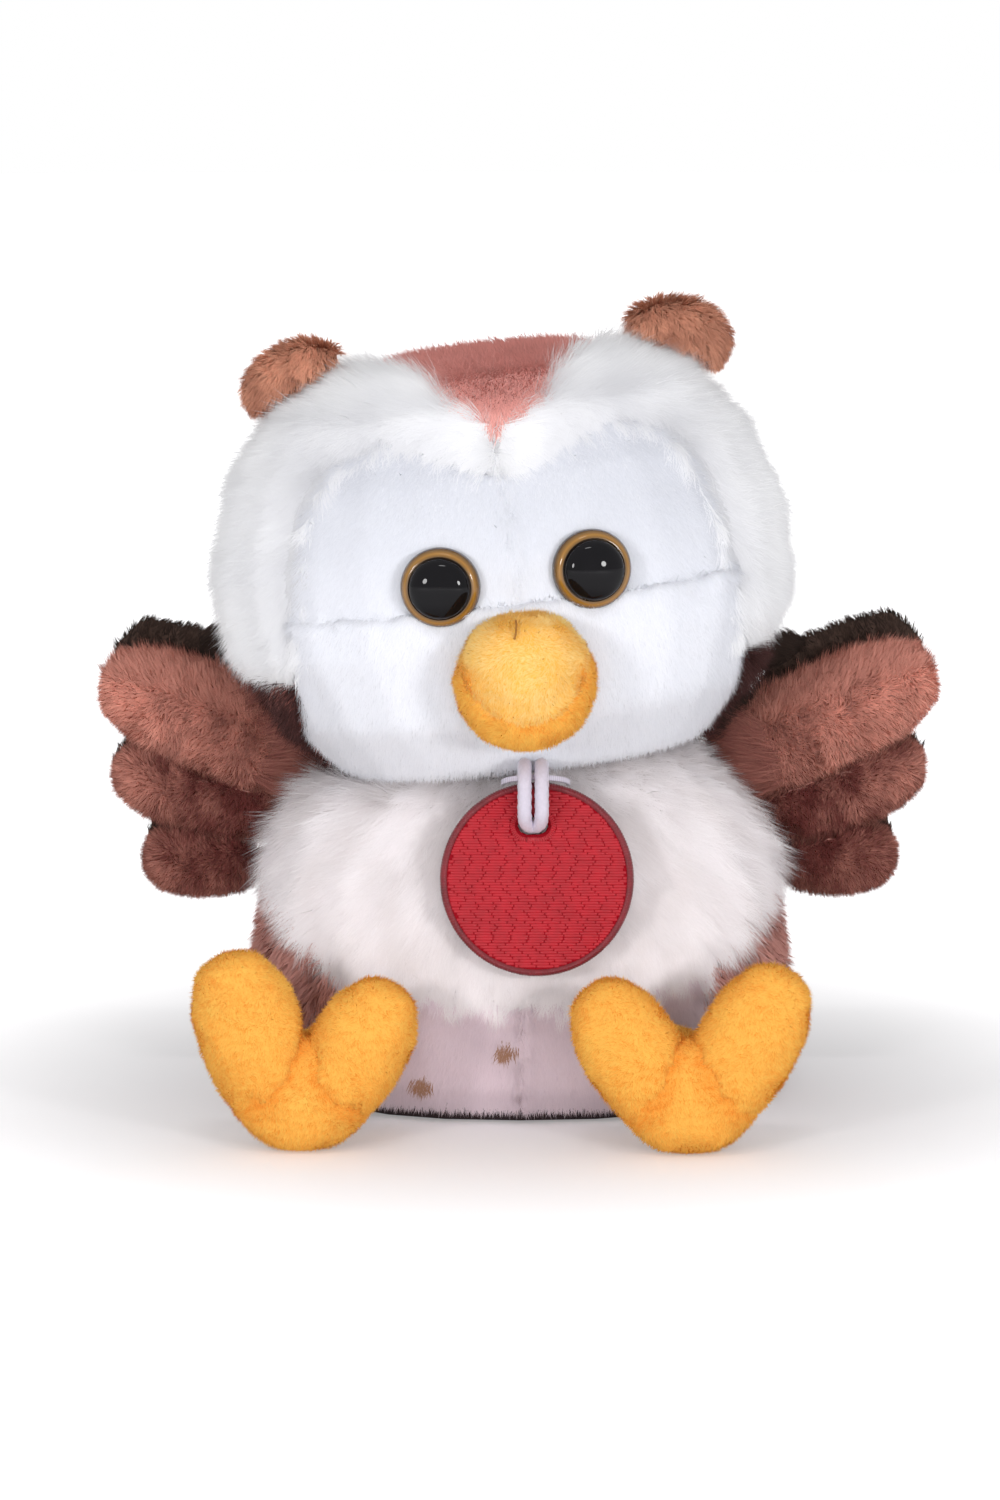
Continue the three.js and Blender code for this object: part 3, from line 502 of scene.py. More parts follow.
def formed(node, voxel, rounds=3):
    """A closed, rounded copy of a frame piece, remade in small even faces."""
    piece = copy_of(node, f"{node}_skin")
    modify(piece, "REMESH", mode="VOXEL", voxel_size=voxel * MM)
    even_out(piece, rounds)
    return piece


def fill_out(pieces, cap):
    """Filling pushes the cloth outwards, no further than cap millimetres."""
    scene = bpy.context.scene
    before = [read(piece) for piece in pieces]
    for piece in pieces:
        settings = piece.modifiers.new("Filling", "CLOTH").settings
        settings.quality = 4
        settings.mass = 0.15
        settings.use_pressure = True
        settings.uniform_pressure_force = 4
        settings.effector_weights.gravity = 0
        settings.bending_stiffness = 0.2
    for step in range(1, sizes().sim_frames + 1):
        scene.frame_set(step)
    graph = bpy.context.evaluated_depsgraph_get()
    after = [read(piece, mesh=piece.evaluated_get(graph).data).copy() for piece in pieces]
    for piece, start, end in zip(pieces, before, after):
        piece.modifiers.clear()
        move = end - start
        far = np.linalg.norm(move, axis=1, keepdims=True)
        write(piece, start + move * np.minimum(1, cap * MM / np.maximum(far, 1e-9)))
    scene.frame_set(1)


def above_floor(piece, points):
    """New places for a skin's points, none of them on the floor."""
    points[:, 2] = np.maximum(points[:, 2], FLOOR_GAP)
    write(piece, points)


def sink(piece, depth):
    """The skin of a stuffed piece drops below its pile."""
    above_floor(piece, read(piece) - read(piece, "normal") * depth * MM)


def thin(piece, part, share):
    """A panel keeps this share of its height over the filling, and its pile makes up the rest."""
    tree = tree_of(f"{part}_stuffing")
    points = read(piece)
    for index, point in enumerate(points):
        spot = np.array(tree.find_nearest(Vector(point))[0])
        points[index] = spot + (point - spot) * share
    above_floor(piece, points)
    even_out(piece, 2)


def tuck(piece, nodes, depth, reach=1.3):
    """The sides that face a neighbour across a seam are pushed against it."""
    points, normals = read(piece), read(piece, "normal")
    near = closeness(points, nodes, reach)
    push = np.clip((near - 0.3) / 0.3, 0, 1)
    write(piece, points + normals * (push * depth * MM)[:, None])


def mark_painted_shade(piece, nodes=(), reach=0.5, share=1.0):
    """Painted shade marked on the skin for its cloth: near its neighbours in the folds and seams, and in a
    band at the floor on the thin panels.
    """
    points = read(piece)
    values = closeness(points, nodes, reach) * share if nodes else np.zeros(len(points))
    if share < 1:
        values = np.maximum(values, ramp(points[:, 2], 2.8, -0.9))
    mark(piece, "painted_shade", values)


def finish_skin(piece, node, cloth, slot, fill, *folds):
    """A skin gets its marks of painted shade in the folds and its cloth, stands for its frame piece and rides
    on that piece's body.
    """
    mark_painted_shade(piece, *folds)
    dress(piece, body_of(node), cloth, node)


def panel(node, height, cloth, slot, seams=(), push=SEAM_PUSH, reach=SEAM_REACH, voxel=2, rounds=3, folds=()):
    """A panel over the filling: remade, pressed down to its backing and pushed shut along its seams."""
    skin = formed(node, voxel, rounds)
    thin(skin, "head" if body_of(node) == "head" else "body", height)
    if seams:
        tuck(skin, seams, push, reach)
    finish_skin(skin, node, cloth, slot, PANEL_FILL, *folds)
    return skin


# Pile


class Coat(NamedTuple):
    """One kind of pile. Width is in millimetres, rise in degrees, lock in hairs to a lock, rows in faces."""

    slot: str
    count: float
    width: float
    rise: float
    spread: float = 0.3
    lock: int = 0
    pull: float = 0.0
    wave: float = 0.0
    soft: float = 0.5
    vary: float = 0.28
    rows: int = 1
    airy: bool = False


COATS = {
    "hood": Coat("long_plush", 64000, 0.15, 28, 0.25, lock=50, pull=0.3, wave=0.03, soft=0.6, vary=0.3,
                 rows=2, airy=True),
    "crown": Coat("brown_plush", 30000, 0.17, 28, 0.2, soft=0.6, vary=0.6, rows=2, airy=True),
    "crown_point": Coat("long_plush", 14000, 0.16, 26, 0.25, soft=0.6, vary=0.16, rows=2, airy=True),
    "chest": Coat("long_plush", 62000, 0.16, 30, 0.28, lock=60, pull=0.45, wave=0.04, soft=0.55, vary=0.4,
                  rows=2, airy=True),
    "face_upper": Coat("short_plush", 24000, 0.19, 26, 0.28, soft=0.75, vary=0.2, airy=True),
    "face_lower": Coat("short_plush", 48000, 0.19, 26, 0.28, soft=0.75, vary=0.2, airy=True),
    "belly": Coat("short_plush", 24000, 0.19, 26, soft=0.7, airy=True),
    "fleck": Coat("short_plush", 520, 0.2, 34, soft=0.7, rows=2, airy=True),
    "velour": Coat("velour", 18, 0.16, 34, 0.45, soft=0.7, vary=0.75, airy=True),
    "head_back": Coat("brown_plush", 27000, 0.24, 38, 0.26, lock=24, pull=0.4, rows=2),
    "body_back": Coat("brown_plush", 30000, 0.24, 38, 0.28, lock=22, pull=0.4, rows=2),
    "head_side": Coat("brown_plush", 7000, 0.26, 30, 0.35, lock=16, pull=0.3),
    "ear": Coat("tuft_plush", 17000, 0.17, 42, lock=20, pull=0.4, rows=2),
    "wing_upper": Coat("brown_plush", 33000, 0.2, 58, 0.4, lock=7, pull=0.3, vary=0.6),
    "wing_middle": Coat("brown_plush", 26000, 0.2, 58, 0.4, lock=7, pull=0.3, vary=0.6),
    "wing_lower": Coat("brown_plush", 20000, 0.2, 58, 0.4, lock=7, pull=0.3, vary=0.6),
    "wing_end": Coat("brown_plush", 9000, 0.24, 16, lock=16, pull=0.4),
    "wing_ridge": Coat("brown_plush", 6000, 0.2, 40, lock=16, pull=0.3),
    "lining": Coat("dark_plush", 20000, 0.2, 44, lock=16, pull=0.5),
    "lining_root": Coat("dark_plush", 5000, 0.2, 24, 0.35, lock=16, pull=0.4),
    "lining_end": Coat("dark_plush", 8000, 0.26, 14, lock=16, pull=0.4),
}
ROOT_LIFT = 18
TIP_DROP = 14
STEEPEST = 88
MEAN_LENGTH = 0.95
LENGTH_SPREAD = 0.13
SHORTEST, LONGEST = 0.5, 1.2
LOCK_WIDTH = 0.25
LOCK_LIFT = 0.13
TIP_TAPER = 0.75


def scatter(piece, count, keep, rng):
    """Even random places on a skin: their points and normals, where keep gives each face its share."""
    mesh = piece.data
    mesh.calc_loop_triangles()
    corners = np.empty(len(mesh.loop_triangles) * 3, dtype=np.int64)
    mesh.loop_triangles.foreach_get("vertices", corners)
    corners = corners.reshape(-1, 3)
    points, normals = read(piece), read(piece, "normal")
    a, b, c = (points[corners[:, k]] for k in range(3))
    area = np.linalg.norm(np.cross(b - a, c - a), axis=1)
    weight = area * keep((a + b + c) / 3, unit(normals[corners].sum(axis=1)))
    if weight.sum() <= 0:
        raise RuntimeError(f"{piece.name} has no place for pile")
    chosen = rng.choice(len(corners), size=count, p=weight / weight.sum())
    u, v = rng.random(count), rng.random(count)
    over = u + v > 1
    u[over], v[over] = 1 - u[over], 1 - v[over]
    shares = ((1 - u - v)[:, None], u[:, None], v[:, None])
    spots = sum(points[corners[chosen, k]] * shares[k] for k in range(3))
    turns = unit(sum(normals[corners[chosen, k]] * shares[k] for k in range(3)))
    return spots, turns


def clump(roots, tips, size, rng):
    """Where each hair's tip would be if it leaned to the nearest lock of hair."""
    count = max(1, int(len(roots) / size))
    locks = rng.choice(len(roots), size=count, replace=False)
    tree = kdtree.KDTree(count)
    for index, lock in enumerate(locks):
        tree.insert(roots[lock], index)
    tree.balance()
    nearest = np.array([tree.find(root)[1] for root in roots])
    own = locks[nearest]
    return tips[own] + LOCK_WIDTH * (roots - roots[own]), nearest, count


def raised(normals, lying, degrees, stray):
    """Directions that rise from the skin by an angle, each with its own stray."""
    up = math.sin(math.radians(min(STEEPEST, degrees)))
    return unit(normals * up + lying * math.cos(math.radians(degrees)) + stray)


def hair_mesh(name, points, shown, tints, rows):
    """A mesh of tapered blades, with the normals that they are lit by and their tints in a map."""
    count = len(tints)
    pattern, heights = [], []
    for step in range(rows - 1):
        pattern += [2 * step, 2 * step + 1, 2 * step + 3, 2 * step + 2]
        heights += [step / rows] * 2 + [(step + 1) / rows] * 2
    pattern += [2 * rows - 2, 2 * rows - 1, 2 * rows]
    heights += [(rows - 1) / rows] * 2 + [1.0]
    each = np.arange(count)[:, None]
    corners = (each * (2 * rows + 1) + np.array(pattern)).ravel()
    starts = (each * len(pattern) + 4 * np.arange(rows)).ravel()
    mesh = bpy.data.meshes.new(name)
    mesh.vertices.add(len(points))
    mesh.vertices.foreach_set("co", points.ravel())
    mesh.loops.add(len(corners))
    mesh.loops.foreach_set("vertex_index", corners.astype(np.int32))
    mesh.polygons.add(len(starts))
    mesh.polygons.foreach_set("loop_start", starts.astype(np.int32))
    layer = mesh.uv_layers.new(name=PILE_UV)
    across = np.repeat(np.clip(tints, 0.02, 0.98), len(pattern))
    places = np.stack([across, np.tile(0.02 + 0.96 * np.array(heights), count)], axis=1)
    layer.data.foreach_set("uv", places.astype(np.float32).ravel())
    mesh.update(calc_edges=True)
    lit = mesh.attributes.new("custom_normal", "FLOAT_VECTOR", "POINT")
    lit.data.foreach_set("vector", shown.astype(np.float32).ravel())
    return mesh


def grow(skin, name, length, coat, flow, keep, tint, material, seed, reach=None, limit=None):
    """Pile on a skin: narrow tapered blades that leave their roots at a rise and lie along the flow."""
    rng = np.random.default_rng(seed)
    coat = COATS[coat] if isinstance(coat, str) else coat
    count = int(coat.count * 1 * sizes().hair_share)
    roots, normals = scatter(skin, count, keep, rng)
    lying = flow(roots, normals)
    lying = unit(lying - normals * np.sum(lying * normals, axis=1, keepdims=True))
    loose = rng.normal(size=(count, 3)) * coat.spread
    first = raised(normals, lying, coat.rise + ROOT_LIFT, loose * 0.6)
    last = raised(normals, lying, coat.rise - TIP_DROP, loose)
    long = length * np.clip(rng.normal(MEAN_LENGTH, LENGTH_SPREAD, count), SHORTEST, LONGEST)[:, None]
    if reach:
        long = long * reach(roots)[:, None]
    tips = roots + long * 0.5 * (first + last)
    lean = np.zeros_like(roots)
    shadow = rng.random(count)
    if coat.lock:
        target, nearest, locks = clump(roots, tips, coat.lock, rng)
        lift = rng.normal(size=(locks, 3)) * length * LOCK_LIFT
        lean = (target - tips) * coat.pull + lift[nearest] * coat.pull
        shadow = 0.5 * shadow + 0.5 * rng.random(locks)[nearest]
    roll = unit(normals + rng.normal(size=(count, 3)) * (0.12 if coat.airy else 0.25))
    sway = unit(np.cross(normals, lying)) * (rng.normal(size=count) * coat.wave * length)[:, None]
    points = np.empty((count, 2 * coat.rows + 1, 3))
    shown = np.empty_like(points)
    for step in range(coat.rows + 1):
        s = step / coat.rows
        curve = first * s + (last - first) * s * s / 2
        centre = roots + long * curve + lean * s ** 1.6 + sway * math.sin(4.2 * s)
        heading = first + (last - first) * s
        side = unit(np.cross(heading, roll))
        blade = unit(coat.soft * normals + (1 - coat.soft) * unit(np.cross(side, heading)))
        if step == coat.rows:
            points[:, 2 * step], shown[:, 2 * step] = centre, blade
            break
        side = side * (coat.width * MM * (1 - TIP_TAPER * s ** 2) / 2)
        points[:, 2 * step], shown[:, 2 * step] = centre - side, blade
        points[:, 2 * step + 1], shown[:, 2 * step + 1] = centre + side, blade
    points = points.reshape(-1, 3)
    if limit:
        points = limit(points)
    points[:, 2] = np.maximum(points[:, 2], 0.1 * MM)
    tints = tint(roots, normals) + coat.vary * (shadow - 0.5)
    piece = link(name, hair_mesh(name, points, shown, tints, coat.rows))
    piece.data.materials.append(material)
    piece.visible_shadow = not coat.airy
    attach(piece, skin["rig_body"])


def outer_side(part, least=0.0):
    """Pile grows only where a panel faces away from the filling."""
    return lambda points, normals: (np.sum(outwards(points, part) * normals, axis=1) > least).astype(float)


def beside(nodes, reach, least):
    """Pile grows only close to these neighbours."""
    return lambda points, normals: (closeness(points, nodes, reach) > least).astype(float)


def everywhere(points, normals):
    """Pile grows all round."""
    return np.ones(len(points))


def laid(x, y, z):
    """Pile lies in one direction."""
    return lambda points, normals: np.tile([x, y, z], (len(points), 1))


def fall(points, normals):
    """Straight down, a little outwards."""
    flow = np.tile([0.0, 0.0, -1.0], (len(points), 1))
    flow[:, 0] = points[:, 0] * 6
    return flow


def wander(flow, points, scale, seed):
    """Long pile strays sideways and up and down in patches."""
    flow[:, 0] += 0.25 * mottle(points, scale, seed)
    flow[:, 2] += 0.2 * mottle(points, scale, seed + 1)
    return flow


def tinted(base, patches=0.0, scale=10, seed=0, near_shade=0.0, near=()):
    """A tint that wanders in patches about its base and darkens close to neighbours, as painted shade."""

    def tint(points, normals):
        value = np.full(len(points), base)
        if patches:
            value = value + patches * mottle(points, scale, seed)
        # Painted shade close to the neighbours.
        if near:
            value = value - near_shade * closeness(points, near, 9)
        return value

    return tint


# Stage

CAMERA_PLACE = (-0.0038, -1.0764, 0.2353)
CAMERA_TILT = 81
CAMERA_LENS = 138.9
LAMP_AIM = (0, 0, 0.07)
LAMPS = (
    ("Key lamp", (-0.745, -1.064, 0.3), 0.22, 0.22, 4.0, True),
    ("Fill lamp", (0.745, -1.064, 0.28), 0.2, 0.2, 4.4, True),
    ("Top lamp", (0.0, -0.75, 1.15), 0.34, 0.1, 1.3, True),
    ("Low lamp", (0.1, -1.2, 0.06), 1.2, 0.1, 2.4, False),
)
FLOOR_RADIUS = 3
FLOOR_INSET = 2.2


def round_lamp(name, place, width, height, power, glossy):
    """A round lamp turned towards the owl."""
    lamp = bpy.data.lights.new(name, "AREA")
    lamp.shape = "ELLIPSE"
    lamp.size = width
    lamp.size_y = height
    lamp.energy = power
    holder = link(name, lamp)
    holder.location = place
    holder.rotation_euler = (Vector(LAMP_AIM) - Vector(place)).to_track_quat("-Z", "Y").to_euler()
    holder.visible_glossy = glossy


def seen_rays(nodes, links):
    """One for rays of the camera, of gloss and of transmission, and nought for the rest."""
    rays = nodes.new("ShaderNodeLightPath").outputs
    direct = joined(nodes, links, "MAXIMUM", rays["Is Camera Ray"], rays["Is Glossy Ray"])
    return joined(nodes, links, "MAXIMUM", direct, rays["Is Transmission Ray"])


def white_paper():
    """Floor paper that keeps the owl's shadow and turns plain white away from it."""
    paper, nodes, links, surface = shader("White paper", 0.9, specular=0.1)
    surface.inputs["Emission Color"].default_value = (1, 1, 1, 1)
    grain = texture(nodes, links, 60).outputs["Fac"]
    white = mixed(nodes, links, grain, (0.84, 0.83, 0.85), (0.86, 0.85, 0.87))
    links.new(white, surface.inputs["Base Color"])
    where = nodes.new("ShaderNodeTexCoord")
    away = nodes.new("ShaderNodeVectorMath")
    away.operation = "LENGTH"
    links.new(where.outputs["Object"], away.inputs[0])
    lift = ranged(nodes, links, away.outputs["Value"], 0.04, 0.22, 0.2, 1.0, "SMOOTHSTEP")
    shown = joined(nodes, links, "MULTIPLY", seen_rays(nodes, links), lift)
    links.new(shown, surface.inputs["Emission Strength"])
    return paper


class OWL_OT_stage(bpy.types.Operator):
    """Camera, lamps, white floor and backdrop"""

    bl_idname = "owl.stage"
    bl_label = "Stage"

    def execute(self, context):
        scene = context.scene
        lens = bpy.data.cameras.new("Camera")
        lens.sensor_fit = "VERTICAL"
        lens.sensor_height = 36
        lens.lens = CAMERA_LENS
        camera = link("Camera", lens)
        camera.location = CAMERA_PLACE
        camera.rotation_euler = (math.radians(CAMERA_TILT), 0, 0)
        scene.camera = camera
        for lamp in LAMPS:
            round_lamp(*lamp)
        world = bpy.data.worlds.new("White room")
        scene.world = world
        world.use_nodes = True
        nodes, links = world.node_tree.nodes, world.node_tree.links
        room = nodes["Background"]
        room.inputs["Color"].default_value = (1, 1, 1, 1)
        strength = ranged(nodes, links, seen_rays(nodes, links), low=0.5)
        links.new(strength, room.inputs["Strength"])
        deselect()
        bpy.ops.mesh.primitive_circle_add(vertices=96, radius=FLOOR_RADIUS, fill_type="NGON")
        floor = context.active_object
        floor.name = "Floor"
        with editing(floor):
            bpy.ops.mesh.inset(thickness=FLOOR_INSET)
        settle(floor)
        floor.data.materials.append(white_paper())
        return {"FINISHED"}


# Tag and cord, with places in millimetres

CORD_HALF = [
    (-1, -36, 63.9), (-1, -37.8, 65.7), (-1, -39.4, 67.75), (-1, -41.3, 68.6), (-1, -43.1, 67.8),
    (-1, -44.4, 66), (-1, -44.9, 63), (-1, -44.6, 60.2), (-0.8, -43, 58.2),
]
CORD_TURN = (0, -41, 57.2)
CORD_MIDDLE = 2.2
CORD_SPREAD = 1.55
CORD_TWIST = 2 * math.pi / (1.9 * MM)

TAG_LEAN = math.radians(8)
TAG_PLACE = np.array([2.9, -42.4, 47.8])
TAG_UP = np.array([0, math.sin(TAG_LEAN), math.cos(TAG_LEAN)])
TAG_FRONT = np.array([0, -math.cos(TAG_LEAN), math.sin(TAG_LEAN)])
TAG_RADIUS = 17.2
TAG_HALF = 1.1
TAG_EDGE = 0.9
SLOT_PLACE = (-0.7, 9.7)
SLOT_HALF = (3.2, 2.0)
SLOT_STRAIGHT = SLOT_HALF[0] - SLOT_HALF[1]
SLOT_MARGIN = 0.75
SLOT_HEM = (0.05, 0.95)
HEM_THREAD = (0.42, 0.28)
HEM_STITCHES = 44
HEM_PITCH = 0.3
ROW_THREAD_HEIGHT = 0.2
RIM_STITCHES = 216
RIM_RELIEF = 0.12
RIM_LEAN = 0.02
RIM_PROFILE = [
    (-0.9, 1.12), (-0.45, 1.5), (0.0, 1.42), (0.28, 0.9), (0.34, 0.0), (0.28, -0.9), (0.0, -1.42),
    (-0.45, -1.5), (-0.9, -1.12),
]
THREAD_LENGTHS = ((0.0, 0.75), (0.12, 0.97), (0.5, 1.0), (0.88, 0.97), (1.0, 0.75))
THREAD_SECTION = ((-1, -0.35), (-0.55, 0.75), (0.55, 0.75), (1, -0.35))


def along_route(route):
    """How far along a line each of its points is."""
    return np.concatenate([[0], np.cumsum(np.linalg.norm(np.diff(route, axis=0), axis=1))])


def smooth_route(points, steps):
    """A rounded line through points, with equal steps."""
    route = np.array(points, float)
    ends = np.vstack([2 * route[0] - route[1], route, 2 * route[-1] - route[-2]])
    line = []
    for index in range(1, len(ends) - 2):
        p0, p1, p2, p3 = ends[index - 1:index + 3]
        for s in np.linspace(0, 1, 24, endpoint=False):
            line.append(0.5 * (2 * p1 + (p2 - p0) * s + (2 * p0 - 5 * p1 + 4 * p2 - p3) * s * s
                               + (3 * p1 - p0 - 3 * p2 + p3) * s ** 3))
    line.append(ends[-2])
    line = np.array(line)
    along = along_route(line)
    wanted = np.linspace(0, along[-1], steps)
    return np.stack([np.interp(wanted, along, line[:, k]) for k in range(3)], axis=1), along[-1]


def braided_tube(name, route, radius, sides, strands, twist, depth):
    """A closed tube along a route, with strands that wind round it."""
    count = len(route)
    heading = unit(np.gradient(route, axis=0))
    side = np.zeros_like(route)
    side[0] = unit(np.cross(heading[0], [1.0, 0.05, 0.0])[None])[0]
    for index in range(1, count):
        moved = side[index - 1] - heading[index] * np.dot(side[index - 1], heading[index])
        side[index] = moved / np.linalg.norm(moved)
    other = np.cross(heading, side)
    along = along_route(route)
    points, faces = [], []
    for index in range(count):
        for step in range(sides):
            angle = 2 * math.pi * step / sides
            bulge = radius * (1 - depth * (0.5 - 0.5 * math.cos(strands * angle + twist * along[index])))
            away = math.cos(angle) * side[index] + math.sin(angle) * other[index]
            points.append(route[index] + bulge * away)
    points += [route[0], route[-1]]
    first, last = count * sides, count * sides + 1
    end = (count - 1) * sides
    pairs = [(step, (step + 1) % sides) for step in range(sides)]
    for ring in range(0, end, sides):
        faces += [(ring + a, ring + b, ring + sides + b, ring + sides + a) for a, b in pairs]
    for a, b in pairs:
        faces += [(first, b, a), (last, end + a, end + b)]
    return new_mesh(name, points, faces)


class OWL_OT_tag_cord(bpy.types.Operator):
    """Doubled white cord that carries the tag"""

    bl_idname = "owl.tag_cord"
    bl_label = "Tag cord"

    def execute(self, context):
        half = [(CORD_MIDDLE + s * CORD_SPREAD, y, z) for s, y, z in CORD_HALF]
        other = [(CORD_MIDDLE - s * CORD_SPREAD, y, z) for s, y, z in CORD_HALF]
        turn = (CORD_MIDDLE + CORD_TURN[0], CORD_TURN[1], CORD_TURN[2])
        route, long = smooth_route([*half, turn, *other[::-1]], 150)
        route *= MM
        radius = sizes().cord_diameter / 2
        cord = braided_tube("tag_cord", route, radius, 16, 6, CORD_TWIST, 0.13)
        white = colour_settings().cord_white
        satin = toned_material("cord_satin", white, darker(white, 0.78), 1500, 0.55, sheen=0.3)
        dress(cord, "tag", satin, "tag_loop")
        return {"FINISHED"}


def on_tag(across, up, out):
    """A place on the tag's face as a place of the whole, in metres."""
    return (TAG_PLACE + across * np.array([1.0, 0, 0]) + up * TAG_UP + out * TAG_FRONT) * MM


def in_slot(across, up):
    """Whether a place on the tag's face is in its slot or close to it."""
    past = max(0.0, abs(across - SLOT_PLACE[0]) - SLOT_STRAIGHT)
    return math.hypot(past, up - SLOT_PLACE[1]) < SLOT_HALF[1] + SLOT_MARGIN


def thread(shape, start, end, width, height):
    """A raised satin stitch on the tag's face, added to a shape's points and faces."""
    points, faces = shape
    start, end = np.array(start), np.array(end)
    along = end - start
    long = np.linalg.norm(along)
    along = along / long
    across = np.array([-along[1], along[0]])
    base = len(points)
    for share, full in THREAD_LENGTHS:
        middle = start + along * long * share
        for aside, rise in THREAD_SECTION:
            spot = middle + across * aside * width / 2 * full
            points.append(on_tag(spot[0], spot[1], TAG_HALF + height * rise * full))
    last = base + 4 * (len(THREAD_LENGTHS) - 1)
    for a in range(base, last, 4):
        faces += [(a + k, a + k + 4, a + k + 5, a + k + 1) for k in range(3)]
    faces.append((base, base + 1, base + 2, base + 3))
    faces.append((last + 3, last + 2, last + 1, last))


def clear_spans(start, end, up):
    """What is left of a stitch beside the slot."""
    samples = [start + (end - start) * k / 8 for k in range(9)]
    free = [s for s in samples if not in_slot(s, up)]
    if len(free) == len(samples):
        return [(start, end)]
    left = [s for s in free if s < SLOT_PLACE[0]]
    right = [s for s in free if s > SLOT_PLACE[0]]
    return [(side[0], side[-1]) for side in (left, right) if len(side) > 2]


def stitch_rows():
    """Rows of satin stitches across the disc, broken at the slot."""
    rng = np.random.default_rng(41)
    shape = ([], [])
    pitch, long = sizes().stitch_pitch / MM, sizes().stitch_length / MM
    reach = TAG_RADIUS - TAG_EDGE
    up = -reach
    while up < reach:
        half = math.sqrt(max(0, reach ** 2 - up ** 2))
        across = -half - long * rng.random()
        while across < half:
            start, end = max(across, -half), min(across + long * 0.97, half)
            if end - start > 0.5:
                row = up + rng.normal(0, 0.02)
                for a, b in clear_spans(start, end, up):
                    thread(shape, (a, row), (b, row), pitch * 1.25, ROW_THREAD_HEIGHT)
            across += long
        up += pitch
    return shape


def rim_stitches():
    """Stitches over the disc's edge, each with a raised middle and a slight lean."""
    points, faces = [], []
    middle = len(RIM_PROFILE) // 2
    for index in range(RIM_STITCHES):
        angle = 2 * math.pi * index / RIM_STITCHES
        base = len(points)
        for k, (inward, out) in enumerate(RIM_PROFILE):
            lean = RIM_LEAN * (k - middle) / middle
            for aside, rise in ((-1, 0.0), (0, 1.0), (1, 0.0)):
                turn = angle + lean + aside * math.pi / RIM_STITCHES * 0.98
                radius = TAG_RADIUS + inward + RIM_RELIEF * rise * (1 if abs(out) < 1.3 else 0)
                height = out + RIM_RELIEF * rise * np.sign(out)
                points.append(on_tag(radius * math.cos(turn), radius * math.sin(turn), height))
        for a in range(base, len(points) - 3, 3):
            faces += [(a + s, a + s + 1, a + s + 4, a + s + 3) for s in range(2)]
    return points, faces


def hem_stitches():
    """Stitches round the slot, that point away from its edge."""
    shape = ([], [])
    turns = [2 * math.pi * index / HEM_STITCHES for index in range(HEM_STITCHES)]
    places = [(SLOT_STRAIGHT * (1 if math.cos(a) > 0 else -1), math.cos(a), math.sin(a)) for a in turns]
    for across in np.arange(-SLOT_STRAIGHT, SLOT_STRAIGHT + 0.01, HEM_PITCH):
        places += [(across, 0, -1), (across, 0, 1)]
    for across, x, z in places:
        ends = [(SLOT_PLACE[0] + across + x * (SLOT_HALF[1] + far), SLOT_PLACE[1] + z * (SLOT_HALF[1] + far))
                for far in SLOT_HEM]
        thread(shape, *ends, *HEM_THREAD)
    return shape


class OWL_OT_tag(bpy.types.Operator):
    """Round embroidered tag, its stitched edge and the ribbon that it hangs from"""

    bl_idname = "owl.tag"
    bl_label = "Tag"

    def execute(self, context):
        red, edge, white = colour_settings().tag_red, colour_settings().tag_edge, colour_settings().cord_white
        disc = copy_of("tag_disc", "tag_felt")
        mark_painted_shade(disc)
        felt = cloth_material("tag_felt", darker(red, 0.72), edge, grain=0.6, sheen=0.1)
        dress(disc, "tag", felt, "tag_disc", angle=40)
        satin = self.satin("tag_satin", red, 0.8)
        self.stitched("tag_stitches", stitch_rows(), satin)
        self.stitched("tag_rim", rim_stitches(), self.satin("tag_edge_satin", edge, 0.6))
        self.stitched("tag_slot_stitches", hem_stitches(), satin)
        ribbon = copy_of("tag_ribbon", "tag_ribbon_cloth")
        modify(ribbon, "BEVEL", width=0.15 * MM, segments=2)
        weave = toned_material("ribbon_weave", white, darker(white, 0.8), 900, 0.6, "Wave", sheen=0.2)
        dress(ribbon, "torso", weave, "tag_ribbon", angle=50)
        return {"FINISHED"}

    @staticmethod
    def satin(name, colour, dark):
        """Shiny thread with its tone changing from stitch to stitch."""
        return toned_material(name, colour, darker(colour, dark), 420, 0.42, span=(0.3, 0.65), sheen=0.15)

    @staticmethod
    def stitched(name, shape, material):
        """Stitches as a piece of the tag."""
        piece = new_mesh(name, *shape)
        with editing(piece):
            bpy.ops.mesh.normals_make_consistent(inside=False)
        dress(piece, "tag", material)


# Filling


class OWL_OT_filling(bpy.types.Operator):
    """Filling of the head and the body, the pellet bag and the base"""

    bl_idname = "owl.filling"
    bl_label = "Filling"

    def execute(self, context):
        fibre = cloth_material("fibre_fill", shade(244, 244, 242), shade(226, 226, 224), grain=2.5, bump=0.6)
        woven = cloth_material("pellet_cotton", shade(216, 212, 204), shade(180, 174, 164), grain=0.8)
        for node, voxel, depth, cloth, slot, fill in (
            ("head_stuffing", 3.5, FILLING_SUNK, fibre, "stuffing", 0.7),
            ("body_stuffing", 3.5, FILLING_SUNK, fibre, "stuffing", 0.7),
            ("pellet_bag", 2.2, 0.4, woven, "pellet_cloth", STUFFED_FILL),
        ):
            piece = formed(node, voxel)
            sink(piece, depth)
            finish_skin(piece, node, cloth, slot, fill)
        base = copy_of("base_panel", "base_panel_skin")
        modify(base, "BEVEL", width=0.4 * MM, segments=2, limit_method="ANGLE")
        points = read(base)
        points[:, :2] *= 0.965
        write(base, points)
        # The base cloth is dark, partly its own colour and partly painted shade under the body.
        cloth = cloth_material("base_cloth", shade(58, 46, 48), shade(36, 28, 30), grain=0.7)
        finish_skin(base, "base_panel", cloth, "short_plush", 0.2)
        return {"FINISHED"}


# Eyes: profiles are radius and height in millimetres

